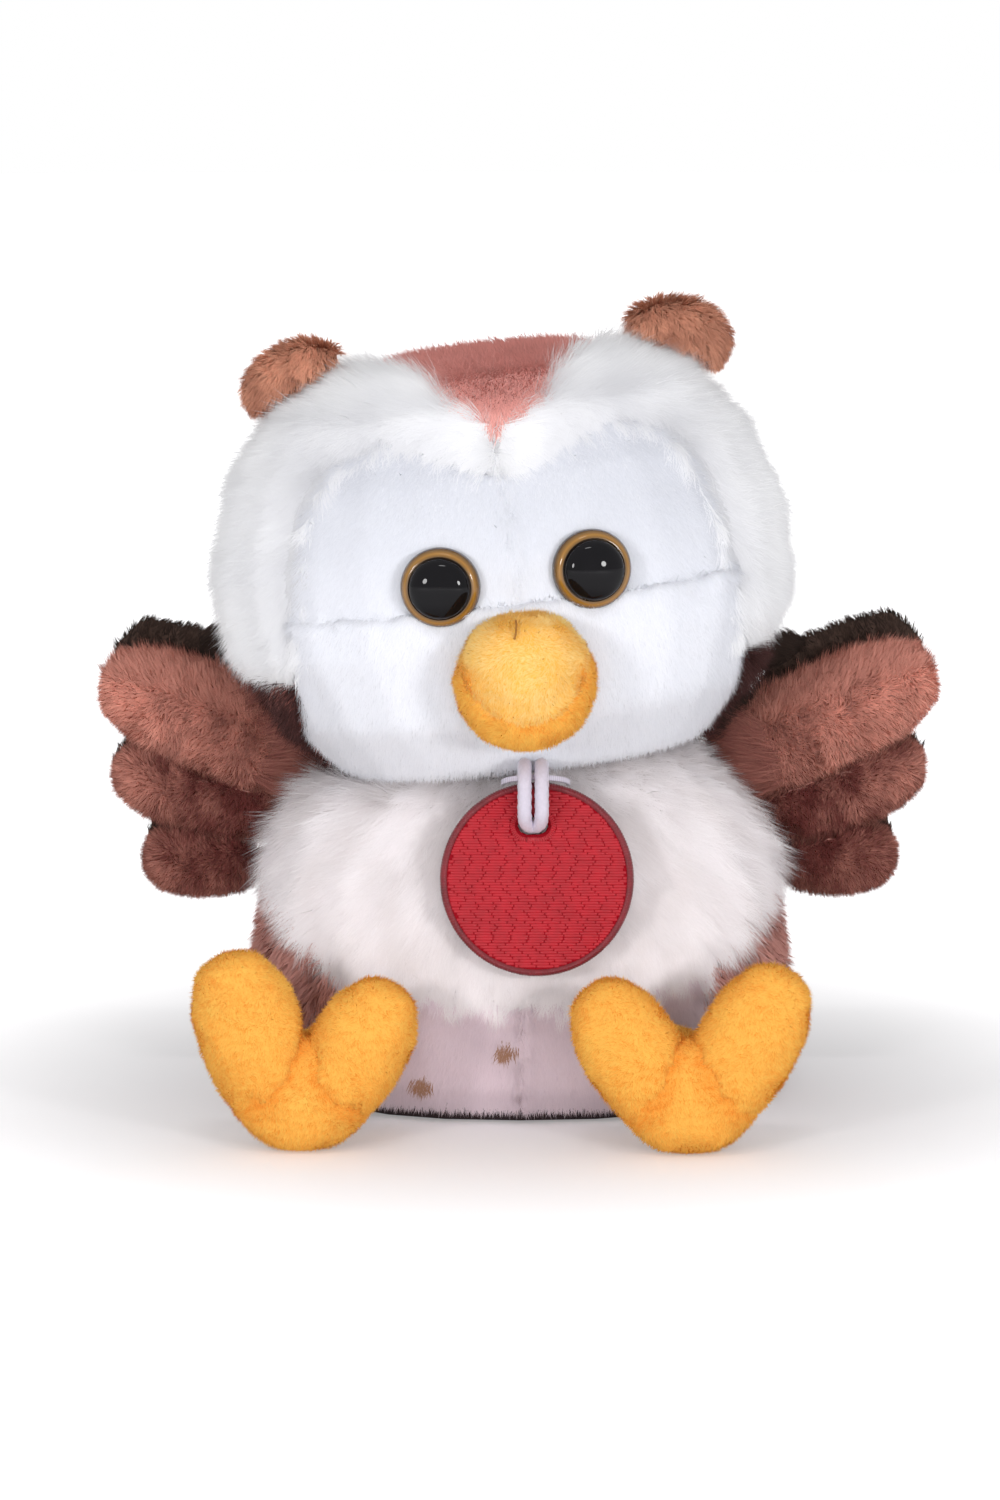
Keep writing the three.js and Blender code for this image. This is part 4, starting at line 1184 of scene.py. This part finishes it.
SHELL_PROFILE = [
    (0.0, -11.0), (1.9, -11.0), (2.0, -0.4), (6.85, -0.1), (7.25, 0.4), (7.25, 1.0), (7.05, 1.7), (6.6, 2.35),
    (6.05, 2.75), (5.75, 2.75), (5.65, 2.3), (5.6, 1.62), (0.0, 1.6),
]
PUPIL_RADIUS = 5.5
PUPIL_BASE = 3.2
PUPIL_DOME = 2.4
BALL_PROFILE = [
    (0.0, 1.9), (5.4, 1.9), (PUPIL_RADIUS, 2.1),
    *((PUPIL_RADIUS * math.cos(a), PUPIL_BASE + PUPIL_DOME * math.sin(a))
      for a in np.linspace(0, math.pi / 2, 12)[:-1]),
    (0.0, PUPIL_BASE + PUPIL_DOME),
]
EYE_SEAT = 3.2
EYE_STEPS = 64
RING_SPAN = (5.4, 7.3)


class OWL_OT_eyes(bpy.types.Operator):
    """Amber eyes with glossy black pupils, and their washers"""

    bl_idname = "owl.eyes"
    bl_label = "Eyes"

    def execute(self, context):
        ring = self.ring_material()
        black = toned_material("pupil_black", (0.005, 0.004, 0.006), (0.002, 0.002, 0.003), 300, 0.03,
                               specular=0.16)
        white = shade(232, 232, 228)
        moulded = toned_material("washer_moulded", white, darker(white, 0.85), 900, 0.5)
        for side in SIDES:
            washer, pupil = middle_of(f"eye_{side}_washer"), middle_of(f"eye_{side}_pupil")
            front = (pupil - washer) / np.linalg.norm(pupil - washer)
            base = washer + front * EYE_SEAT * MM
            shell = self.turned(f"eye_{side}_shell", SHELL_PROFILE, base, front)
            away = read(shell) - base
            mark(shell, "ring", np.linalg.norm(away - np.outer(away @ front, front), axis=1) / MM)
            dress(shell, "head", ring, f"eye_{side}", angle=50)
            ball = self.turned(f"eye_{side}_ball", BALL_PROFILE, base, front)
            dress(ball, "head", black, f"eye_{side}_pupil", angle=50)
            materials = NODES[f"eye_{side}_washer"].data.materials
            materials.clear()
            materials.append(moulded)
        return {"FINISHED"}

    @staticmethod
    def turned(name, profile, base, front):
        """A profile spun round the eye's axis with Blender's spin."""
        piece = new_mesh(name, [(r * MM, 0, h * MM) for r, h in profile], [])
        piece.data.edges.add(len(profile) - 1)
        for index, edge in enumerate(piece.data.edges):
            edge.vertices = (index, index + 1)
        piece.data.update()
        with editing(piece):
            bpy.ops.mesh.spin(steps=EYE_STEPS, angle=2 * math.pi, center=(0, 0, 0), axis=(0, 0, 1))
            bpy.ops.mesh.select_all(action="SELECT")
            bpy.ops.mesh.remove_doubles(threshold=0.003 * MM)
            bpy.ops.mesh.normals_make_consistent(inside=False)
        piece.rotation_euler = Vector(front).to_track_quat("Z", "Y").to_euler()
        piece.location = base
        settle(piece)
        return piece

    @staticmethod
    def ring_material():
        """Amber that darkens to a thin rim and towards the pupil."""
        material, nodes, links, surface = shader("eye_amber", 0.22, coat=0.5, specular=0.3)
        across = nodes.new("ShaderNodeAttribute")
        across.attribute_name = "ring"
        colours = nodes.new("ShaderNodeValToRGB")
        stops = colours.color_ramp.elements
        stops[0].color = (*shade(60, 40, 18), 1)
        stops[1].color = (*colour_settings().amber_dark, 1)
        for position, colour in ((0.2, shade(104, 72, 26)), (0.5, colour_settings().amber), (0.8, shade(110, 76, 26))):
            stops.new(position).color = (*colour, 1)
        links.new(ranged(nodes, links, across.outputs["Fac"], *RING_SPAN), colours.inputs["Fac"])
        links.new(colours.outputs[0], surface.inputs["Base Color"])
        return material


# Velour pieces

VELOUR_SWELL = 0.7
STITCH_TOP = 96.4


def velour_flow(points, normals):
    """Short pile that lies every way, mostly down."""
    lay = [mottle(points, 9, 8), mottle(points, 9, 9) * 0.4, -0.6 + mottle(points, 9, 10)]
    return unit(np.stack(lay, axis=1))


def velour(around, seed):
    """Stuffed velour pieces, each with its neighbours: filled, sunk below their short pile and covered."""
    light, dark = colour_settings().velour_light, colour_settings().velour_dark
    # The dark colour is painted shade: the cloth takes it in the creases between pieces, the nap as its tint
    # falls near them.
    cloth = once(cloth_material, "velour_cloth", light, dark, 0.45, 0.35)
    nap = once(pile_material, "velour_pile", dark, light, 0.8, 0.35)
    # The beak's bulge takes a paler nap: a painted highlight on its top.
    pale = once(pile_material, "beak_pile", light, colour_settings().beak_light, 0.85, 0.35)
    skins = {node: formed(node, 1.5, 2) for node in around}
    fill_out(list(skins.values()), VELOUR_SWELL)
    for order, (node, skin) in enumerate(skins.items()):
        sink(skin, 0.1)
        tuck(skin, around[node], 1.1)
        even_out(skin, 3)
        finish_skin(skin, node, cloth, "velour", STUFFED_FILL, around[node], 0.5)

        def tint(points, normals):
            wool = 0.1 * mottle(points, 7, 5) + 0.22 * mottle(points, 1.3, 6)
            # Painted shade darkens the nap close to the neighbouring pieces.
            return 0.66 + wool - 0.4 * closeness(points, around[node], 1.6)

        area = sum(face.area for face in skin.data.polygons) / MM ** 2
        coat = COATS["velour"]._replace(count=area * COATS["velour"].count)
        grow(skin, f"{node}_nap", sizes().velour_pile, coat, velour_flow, everywhere, tint,
             pale if node == "beak_upper" else nap, seed + order)
    return skins


class OWL_OT_beak(bpy.types.Operator):
    """Stuffed velour beak: the bulge, the lip under it and a stitch"""

    bl_idname = "owl.beak"
    bl_label = "Beak"

    def execute(self, context):
        face = ["face_lower", *FACE_UPPER]
        skins = velour({"beak_upper": ["beak_lower", *face], "beak_lower": ["beak_upper", *face]}, 61)
        route = []
        tree = BVHTree.FromObject(skins["beak_upper"], context.evaluated_depsgraph_get())
        for share in np.linspace(0, 1, 9):
            x = -0.9 - 0.3 * share + 0.2 * math.sin(3 * share)
            above = Vector((x * MM, -0.2, (STITCH_TOP - 2.6 * share) * MM))
            hit = tree.ray_cast(above, Vector((0, 1, 0)))
            if hit[0] is not None:
                route.append(np.array(hit[0]) + np.array(hit[1]) * 0.6 * MM)
        if len(route) < 4:
            raise RuntimeError("the beak's stitch misses the beak")
        line, _ = smooth_route(route, 24)
        stitch = braided_tube("beak_stitch", line, 0.2 * MM, 8, 2, 2 * math.pi / (0.9 * MM), 0.2)
        mark_painted_shade(stitch)
        cotton = cloth_material("dark_thread", shade(176, 122, 62), shade(140, 92, 48), 0.3)
        dress(stitch, "head", cotton)
        return {"FINISHED"}


class OWL_OT_feet(bpy.types.Operator):
    """Stuffed velour legs, heels and toes"""

    bl_idname = "owl.feet"
    bl_label = "Feet"

    def execute(self, context):
        around = {}
        for side in SIDES:
            foot = [f"{part}_{side}" for part in ("leg", "heel", "toe_inner", "toe_outer")]
            for node in foot:
                around[node] = [other for other in foot if other != node]
            around[f"leg_{side}"].append(f"belly_{side}")
        velour(around, 161)
        return {"FINISHED"}


# Head

EAR_SWELL = 0.6
FACE_HEIGHTS = {"face_upper": 0.65, "face_lower": 0.85}


def face_tint(points, normals):
    """Painted shade: darker towards the top of the face, paler low on the cheeks."""
    return 0.9 - 0.42 * ramp(points[:, 2], 92, 26)


class OWL_OT_face(bpy.types.Operator):
    """Short white face panels with their seams"""

    bl_idname = "owl.face"
    bl_label = "Face"

    def execute(self, context):
        tip, root = colour_settings().face_tip, colour_settings().face_root
        cloth = cloth_material("face_cloth", tip, shade(196, 192, 196), 0.5)
        nap = pile_material("face_pile", root, tip, 0.95)
        panels = {
            "face_upper_left": ["face_upper_right", "face_lower", "hood_left"],
            "face_upper_right": ["face_upper_left", "face_lower", "hood_right"],
            "face_lower": [*FACE_UPPER, "hood_left", "hood_right"],
        }
        for order, (node, around) in enumerate(panels.items()):
            kind = "face_lower" if node == "face_lower" else "face_upper"
            # The cloth darkens along the seams with painted shade.
            skin = panel(node, FACE_HEIGHTS[kind], cloth, "short_plush", around[:2], push=1.3, reach=1.8,
                         voxel=1.3, rounds=2, folds=(around, 0.5, 0.4))
            grow(skin, f"{node}_nap", sizes().face_pile, kind, fall, outer_side("head"), face_tint, nap,
                 71 + order)
        return {"FINISHED"}


FACE_MIDDLE = np.array([-2.0, -38.0, 103.0]) * MM
PARTING = np.array([-4.5, -38.0, 122.0]) * MM
CROWN_POINT = 129.5 * MM


def hood_flow(points, normals):
    """Over the face from the parting out to the sides, and below that away from the face and down."""
    parted = points - PARTING
    side = np.where(parted[:, 0] < 0, -1.0, 1.0)
    out = ramp(np.abs(parted[:, 0]), 0, 46)
    over = np.stack([side * (0.95 - 0.5 * out), 0.15 + 0.3 * out, -(0.1 + 0.6 * out)], axis=1)
    away = points - FACE_MIDDLE
    away[:, 1] = 0
    high = ramp(points[:, 2], 112, 14)[:, None]
    flow = wander(high * over + (1 - high) * (unit(away) + np.array([0, 0.35, -0.5])), points, 24, 11)
    return flow - unit(away) * closeness(points, FACE_PANELS, 4)[:, None] * 1.5


def crown_flow(points, normals):
    """Down to the point of the crown."""
    away = points - PARTING
    return np.stack([-away[:, 0] * 9, np.full(len(points), -0.35), np.full(len(points), -1.0)], axis=1)


def crown_tint(points, normals):
    """Darker towards the point of the crown and towards the back."""
    low, back = ramp(points[:, 2], 132, -10), ramp(points[:, 1], 0, 24)
    return 0.86 - 0.6 * low - 0.5 * back + 0.1 * mottle(points, 9, 6)


def hood_reach(points):
    """Shorter beside the face and at the lower fringe."""
    return (1 - 0.5 * closeness(points, FACE_PANELS, 12)) * (1 - 0.15 * ramp(points[:, 2], 98, -12))


def hood_keep(points, normals):
    """Hair on the outer side, clear of the face panels."""
    return outer_side("head")(points, normals) * (closeness(points, FACE_PANELS, 0.7) < 0.37)


class OWL_OT_hood(bpy.types.Operator):
    """Long white hood round the face, and the brown crown"""

    bl_idname = "owl.hood"
    bl_label = "Hood and crown"

    def execute(self, context):
        colours, size = colour_settings(), sizes()
        cloth = cloth_material("hood_cloth", colours.hood_root, shade(190, 184, 176), 0.8)
        long = pile_material("hood_pile", colours.hood_root, colours.hood_tip, 0.95, 0.3)
        # The tint darkens beside the upper face panels: painted shade along the face's edge.
        tint = tinted(0.78, 0.16, 16, 4, near_shade=0.75, near=FACE_UPPER)
        for order, side in enumerate(SIDES):
            node = f"hood_{side}"
            skin = panel(node, 0.25, cloth, "long_plush")
            grow(skin, f"{node}_pile", size.hood_pile, "hood", hood_flow, hood_keep, tint, long, 81 + order,
                 reach=hood_reach)
        brown = pile_material("crown_pile", colours.crown_root, colours.crown_tip, 0.9, 0.5)
        skin = formed("crown_panel", 2, 3)
        thin(skin, "head", 0.5)
        points = read(skin)
        low = ramp(points[:, 2], 130, -3)[:, None]
        write(skin, points - outwards(points, "head") * low * 1.5 * MM)
        finish_skin(skin, "crown_panel", brown_plush()[1], "brown_plush", PANEL_FILL)
        outer = outer_side("head", -0.1)
        grow(skin, "crown_pile", size.crown_pile, "crown", crown_flow,
             lambda p, n: outer(p, n) * (p[:, 2] > CROWN_POINT), crown_tint, brown, 91)
        grow(skin, "crown_point_pile", 9 * MM, "crown_point", hood_flow,
             lambda p, n: outer(p, n) * (p[:, 2] < CROWN_POINT), tinted(0.6), long, 93)
        return {"FINISHED"}


class OWL_OT_head_back(bpy.types.Operator):
    """Brown back of the head"""

    bl_idname = "owl.head_back"
    bl_label = "Back of the head"

    def execute(self, context):
        brown, backing = brown_plush()
        # A dark pile low on the sides, beside the wings, the linings and the face, is painted shade.
        shadow = pile_material("side_shade_pile", shade(54, 34, 34), shade(98, 60, 56), 0.75, 0.1)
        outer = outer_side("head")
        for order, (side, sign) in enumerate(SIDES.items()):
            node = f"head_back_{side}"
            seams = [f"head_back_{OTHER_SIDE[side]}", f"body_back_{side}"]
            skin = panel(node, 0.4, backing, "brown_plush", seams)
            # The tint darkens near the lower face: painted shade in the gap beside the cheek.
            grow(skin, f"{node}_pile", sizes().back_pile, "head_back", fall, outer,
                 tinted(0.56, 0.18, 13, 7, near_shade=0.6, near=["face_lower"]), brown, 95 + order)
            close = beside([f"wing_{side}_upper", f"wing_{side}_lining", "face_lower"], 9, 0.25)

            def low_side(points, normals):
                seen = (points[:, 2] < 100 * MM) & (points[:, 1] < -1 * MM)
                return close(points, normals) * seen * outer(points, normals)

            grow(skin, f"{node}_side_shade_pile", 6.5 * MM, "head_side", laid(0.6 * sign, -0.1, -1.0), low_side,
                 tinted(0.4), shadow, 97 + order)
        return {"FINISHED"}


class OWL_OT_ears(bpy.types.Operator):
    """Stuffed brown ear tufts"""

    bl_idname = "owl.ears"
    bl_label = "Ear tufts"

    def execute(self, context):
        light, dark = colour_settings().ear_light, colour_settings().ear_dark
        cloth = cloth_material("ear_cloth", darker(light, 0.6), dark, 0.6)
        hair = pile_material("ear_pile", dark, light, 0.72, 0.35)
        tufts = {side: formed(f"ear_tuft_{side}", 1.5, 3) for side in SIDES}
        fill_out(list(tufts.values()), EAR_SWELL)
        for order, (side, skin) in enumerate(tufts.items()):
            node = f"ear_tuft_{side}"
            sink(skin, 1.5)
            finish_skin(skin, node, cloth, "tuft_plush", STUFFED_FILL)
            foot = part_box(node)[0][2]

            def tint(points, normals):
                return 0.42 + 0.35 * ramp(points[:, 2] - foot, 0, 15) + 0.2 * mottle(points, 5, 14)

            grow(skin, f"{node}_pile", sizes().ear_pile, "ear", laid(0.35 * SIDES[side], -0.1, -1.0),
                 everywhere, tint, hair, 101 + order)
        return {"FINISHED"}


# Body

# No nap grows below this height, where the cloth's painted shade at the floor shows.
BELLY_HEM = 3.1 * MM
FLECKS = np.array([[-2.8, 15.5], [-18.0, 8.5]]) * MM
FLECK_RADIUS = 0.7 * MM


def chest_flow(points, normals):
    """Out and down from the neck."""
    high = ramp(points[:, 2], 30, 22)
    back, down = np.full(len(points), -0.15), np.full(len(points), -1.0)
    return wander(np.stack([points[:, 0] / (26 * MM) * high, back, down], axis=1), points, 15, 21)


def chest_reach(points):
    """Shorter towards the neck and towards the lower edge."""
    return 1 - 0.62 * ramp(points[:, 2], 56, 9) - 0.5 * ramp(points[:, 2], 40, -16)


def behind_tag(points):
    """Hair stays behind the tag."""
    away = points / MM - TAG_PLACE
    inside = np.hypot(away[:, 0], away @ TAG_UP) < TAG_RADIUS + 0.8
    over = np.where(inside, np.maximum(0, away @ TAG_FRONT + TAG_HALF + 0.3), 0)
    return points - np.outer(over, TAG_FRONT) * MM


class OWL_OT_body(bpy.types.Operator):
    """Long white chest, short pale belly with two flecks, and brown back"""

    bl_idname = "owl.body"
    bl_label = "Body"

    def execute(self, context):
        colours, size = colour_settings(), sizes()
        outer = outer_side("body")
        tip, root = colours.chest_tip, colours.chest_root
        skin = panel("chest_panel", 0.25, cloth_material("chest_cloth", root, shade(170, 158, 150), 0.8),
                     "long_plush")
        grow(skin, "chest_pile", size.chest_pile, "chest", chest_flow, outer, tinted(0.6, 0.2, 9, 23),
             pile_material("chest_pile", root, tip, 0.93, 0.3), 111, reach=chest_reach, limit=behind_tag)
        tip, root = colours.belly_tip, colours.belly_root
        # The cloth's dark colour is painted shade along the middle seam and in a band at the floor.
        cloth = cloth_material("belly_cloth", tip, shade(84, 66, 70), 0.5)
        nap = pile_material("belly_pile", root, tip, 0.93)
        for order, side in enumerate(SIDES):
            node, other = f"belly_{side}", f"belly_{OTHER_SIDE[side]}"
            skin = panel(node, 0.6, cloth, "short_plush", [other, "chest_panel"], voxel=1.4, rounds=2,
                         folds=([other], 0.4, 0.15))
            grow(skin, f"{node}_nap", size.belly_pile, "belly", fall,
                 lambda p, n: outer(p, n) * (p[:, 2] > BELLY_HEM), tinted(0.6, 0.16, 12, 24), nap,
                 121 + order)
            if side == "left":
                self.flecks(skin)
        brown, backing = brown_plush()
        for order, side in enumerate(SIDES):
            node = f"body_back_{side}"
            seams = [f"body_back_{OTHER_SIDE[side]}", f"head_back_{side}", f"belly_{side}"]
            skin = panel(node, 0.4, backing, "brown_plush", seams)
            grow(skin, f"{node}_pile", size.back_pile, "body_back", fall, outer, tinted(0.56, 0.18, 12, 25),
                 brown, 131 + order)
        return {"FINISHED"}

    @staticmethod
    def flecks(skin):
        """Two small brown tufts in the belly's pile."""

        def keep(points, normals):
            near = np.min([np.hypot((points[:, 0] - x) / 1.4, points[:, 2] - z) for x, z in FLECKS], axis=0)
            return np.where(normals[:, 1] < -0.3, np.exp(-(near / FLECK_RADIUS) ** 2), 0)

        fleck = colour_settings().fleck
        hair = pile_material("fleck_pile", darker(fleck, 0.8), fleck, 0.95)
        grow(skin, "belly_flecks", sizes().belly_pile * 1.15, "fleck", fall, keep, tinted(0.5), hair, 127)


# Wings

# Each lobe's base tint and the painted shade it takes near the other lobes and the body. The middle and lower
# lobes have a darker base, partly painted shade under the upper lobe.
WING_TINTS = {"upper": (0.56, 0.05), "middle": (0.28, 0.4), "lower": (0.22, 0.4)}
WING_SUNK = {"upper": 0.4, "middle": 1.2, "lower": 1.2}
WING_SWELL = 0.9


def front_share(points, normals):
    """Little pile on the back of a lobe, which its lining covers."""
    return np.where(normals[:, 1] > 0.75, 0.15, 1.0)


class OWL_OT_wings(bpy.types.Operator):
    """Stuffed brown wing lobes on their dark linings"""

    bl_idname = "owl.wings"
    bl_label = "Wings"

    def execute(self, context):
        colours = colour_settings()
        brown = pile_material("wing_pile", colours.wing_dark, colours.wing_light, 0.85, 0.5)
        lobes = [(f"wing_{side}_{lobe}", side, lobe) for side in SIDES for lobe in WING_LOBES]
        skins = {node: formed(node, 1.8, 4) for node, side, lobe in lobes}
        fill_out(list(skins.values()), WING_SWELL)
        for order, (node, side, lobe) in enumerate(lobes):
            sink(skins[node], WING_SUNK[lobe])
            finish_skin(skins[node], node, brown_plush()[1], "brown_plush", STUFFED_FILL)
            around = [f"wing_{side}_{other}" for other in WING_LOBES if other != lobe]
            around += [f"body_back_{side}", "chest_panel"]
            base, near_shade = WING_TINTS[lobe]

            def tint(points, normals):
                # Painted sheen lightens the lobe towards its outer end, and painted shade darkens it near the
                # other lobes and the body.
                out = ramp(np.abs(points[:, 0]), 50, 28)
                near = closeness(points, around, 5)
                return base + 0.42 * out ** 1.5 - near_shade * near + 0.16 * mottle(points, 6, 31)

            def flow(points, normals):
                lay = laid(0.8 * SIDES[side], -0.1, -0.25)(points, normals)
                for k, seed in enumerate((32, 33, 34)):
                    lay[:, k] += 0.9 * mottle(points, 11, seed)
                return lay

            grow(skins[node], f"{node}_pile", sizes().wing_pile, f"wing_{lobe}", flow, front_share, tint,
                 brown, 141 + order)
        light, dark = colours.lining_light, colours.lining_dark
        cloth = cloth_material("lining_cloth", light, dark, 0.6)
        hair = pile_material("lining_pile", dark, light, 0.7, 0.2)
        for order, (side, sign) in enumerate(SIDES.items()):
            node = f"wing_{side}_lining"
            skin = formed(node, 1.4, 2)
            sink(skin, 0.9)
            finish_skin(skin, node, cloth, "dark_plush", 0.3)
            lobe = skins[f"wing_{side}_upper"]
            root = beside([f"hood_{side}", "face_lower"], 7, 0.3)
            end = beside(["face_lower", f"head_back_{side}", "chest_panel"], 5, 0.2)
            grow(skin, f"{node}_pile", sizes().lining_pile, "lining", laid(-0.3 * sign, 0.0, 0.6),
                 lambda p, n: ((n[:, 2] > 0.3) | (np.abs(n[:, 1]) > 0.7)).astype(float),
                 tinted(0.42, 0.3, 6, 35), hair, 151 + order)
            # Longer, darker lining pile where the lining meets the hood and the face: the lining's colour,
            # and partly painted shade in that corner.
            grow(skin, f"{node}_root_pile", 6 * MM, "lining_root", laid(-0.9 * sign, 0.0, 0.3), root,
                 tinted(0.3), hair, 153 + order)
            # Longer pile at the lobe's inner end and along its ridge closes the gaps beside the head. At the
            # inner end the brown pile is darker and dark lining pile lies over it, which is the lining's
            # colour and partly painted shade in the gap.
            grow(lobe, f"wing_{side}_end_pile", 9 * MM, "wing_end", laid(-0.9 * sign, 0.05, 0.3),
                 lambda p, n: end(p, n) * (n[:, 1] < 0.4), tinted(0.25), brown, 155 + order)
            grow(lobe, f"{node}_end_pile", 9.5 * MM, "lining_end", laid(-0.9 * sign, 0.05, 0.6),
                 lambda p, n: end(p, n) * (n[:, 2] > 0.1) * (n[:, 1] > 0.0), tinted(0.3), hair, 157 + order)
            grow(lobe, f"wing_{side}_ridge_pile", 4.6 * MM, "wing_ridge", laid(0.4 * sign, -0.3, 0.9),
                 lambda p, n: ((n[:, 2] > 0.25) & (n[:, 1] < 0.35)).astype(float), tinted(0.62), brown,
                 159 + order)
        return {"FINISHED"}


OPERATORS = (
    OWL_OT_stage, OWL_OT_tag_cord, OWL_OT_tag, OWL_OT_filling, OWL_OT_eyes, OWL_OT_beak, OWL_OT_face,
    OWL_OT_hood, OWL_OT_head_back, OWL_OT_ears, OWL_OT_body, OWL_OT_wings, OWL_OT_feet,
)


class OWL_PT_panel(bpy.types.Panel):
    """The owl's pieces, in the order that they are made"""

    bl_idname = "OWL_PT_panel"
    bl_label = "Plush owl"
    bl_space_type = "VIEW_3D"
    bl_region_type = "UI"
    bl_category = "Owl"

    def draw(self, context):
        column = self.layout.column()
        for group in (context.scene.owl_sizes, context.scene.owl_colours):
            for name in group.__annotations__:
                column.prop(group, name)
        for operator in OPERATORS:
            column.operator(operator.bl_idname)


CLASSES = (OwlSizes, OwlColours, *OPERATORS, OWL_PT_panel)


def register():
    for each in CLASSES:
        bpy.utils.register_class(each)
    bpy.types.Scene.owl_sizes = PointerProperty(type=OwlSizes)
    bpy.types.Scene.owl_colours = PointerProperty(type=OwlColours)


def unregister():
    del bpy.types.Scene.owl_colours
    del bpy.types.Scene.owl_sizes
    for each in reversed(CLASSES):
        bpy.utils.unregister_class(each)


def main():
    """Makes the whole owl and its stage."""
    register()
    bpy.context.scene.view_settings.view_transform = "Standard"
    for operator in OPERATORS:
        group, name = operator.bl_idname.split(".")
        getattr(getattr(bpy.ops, group), name)()
    bpy.context.view_layer.update()


if __name__ == "__main__":
    main()
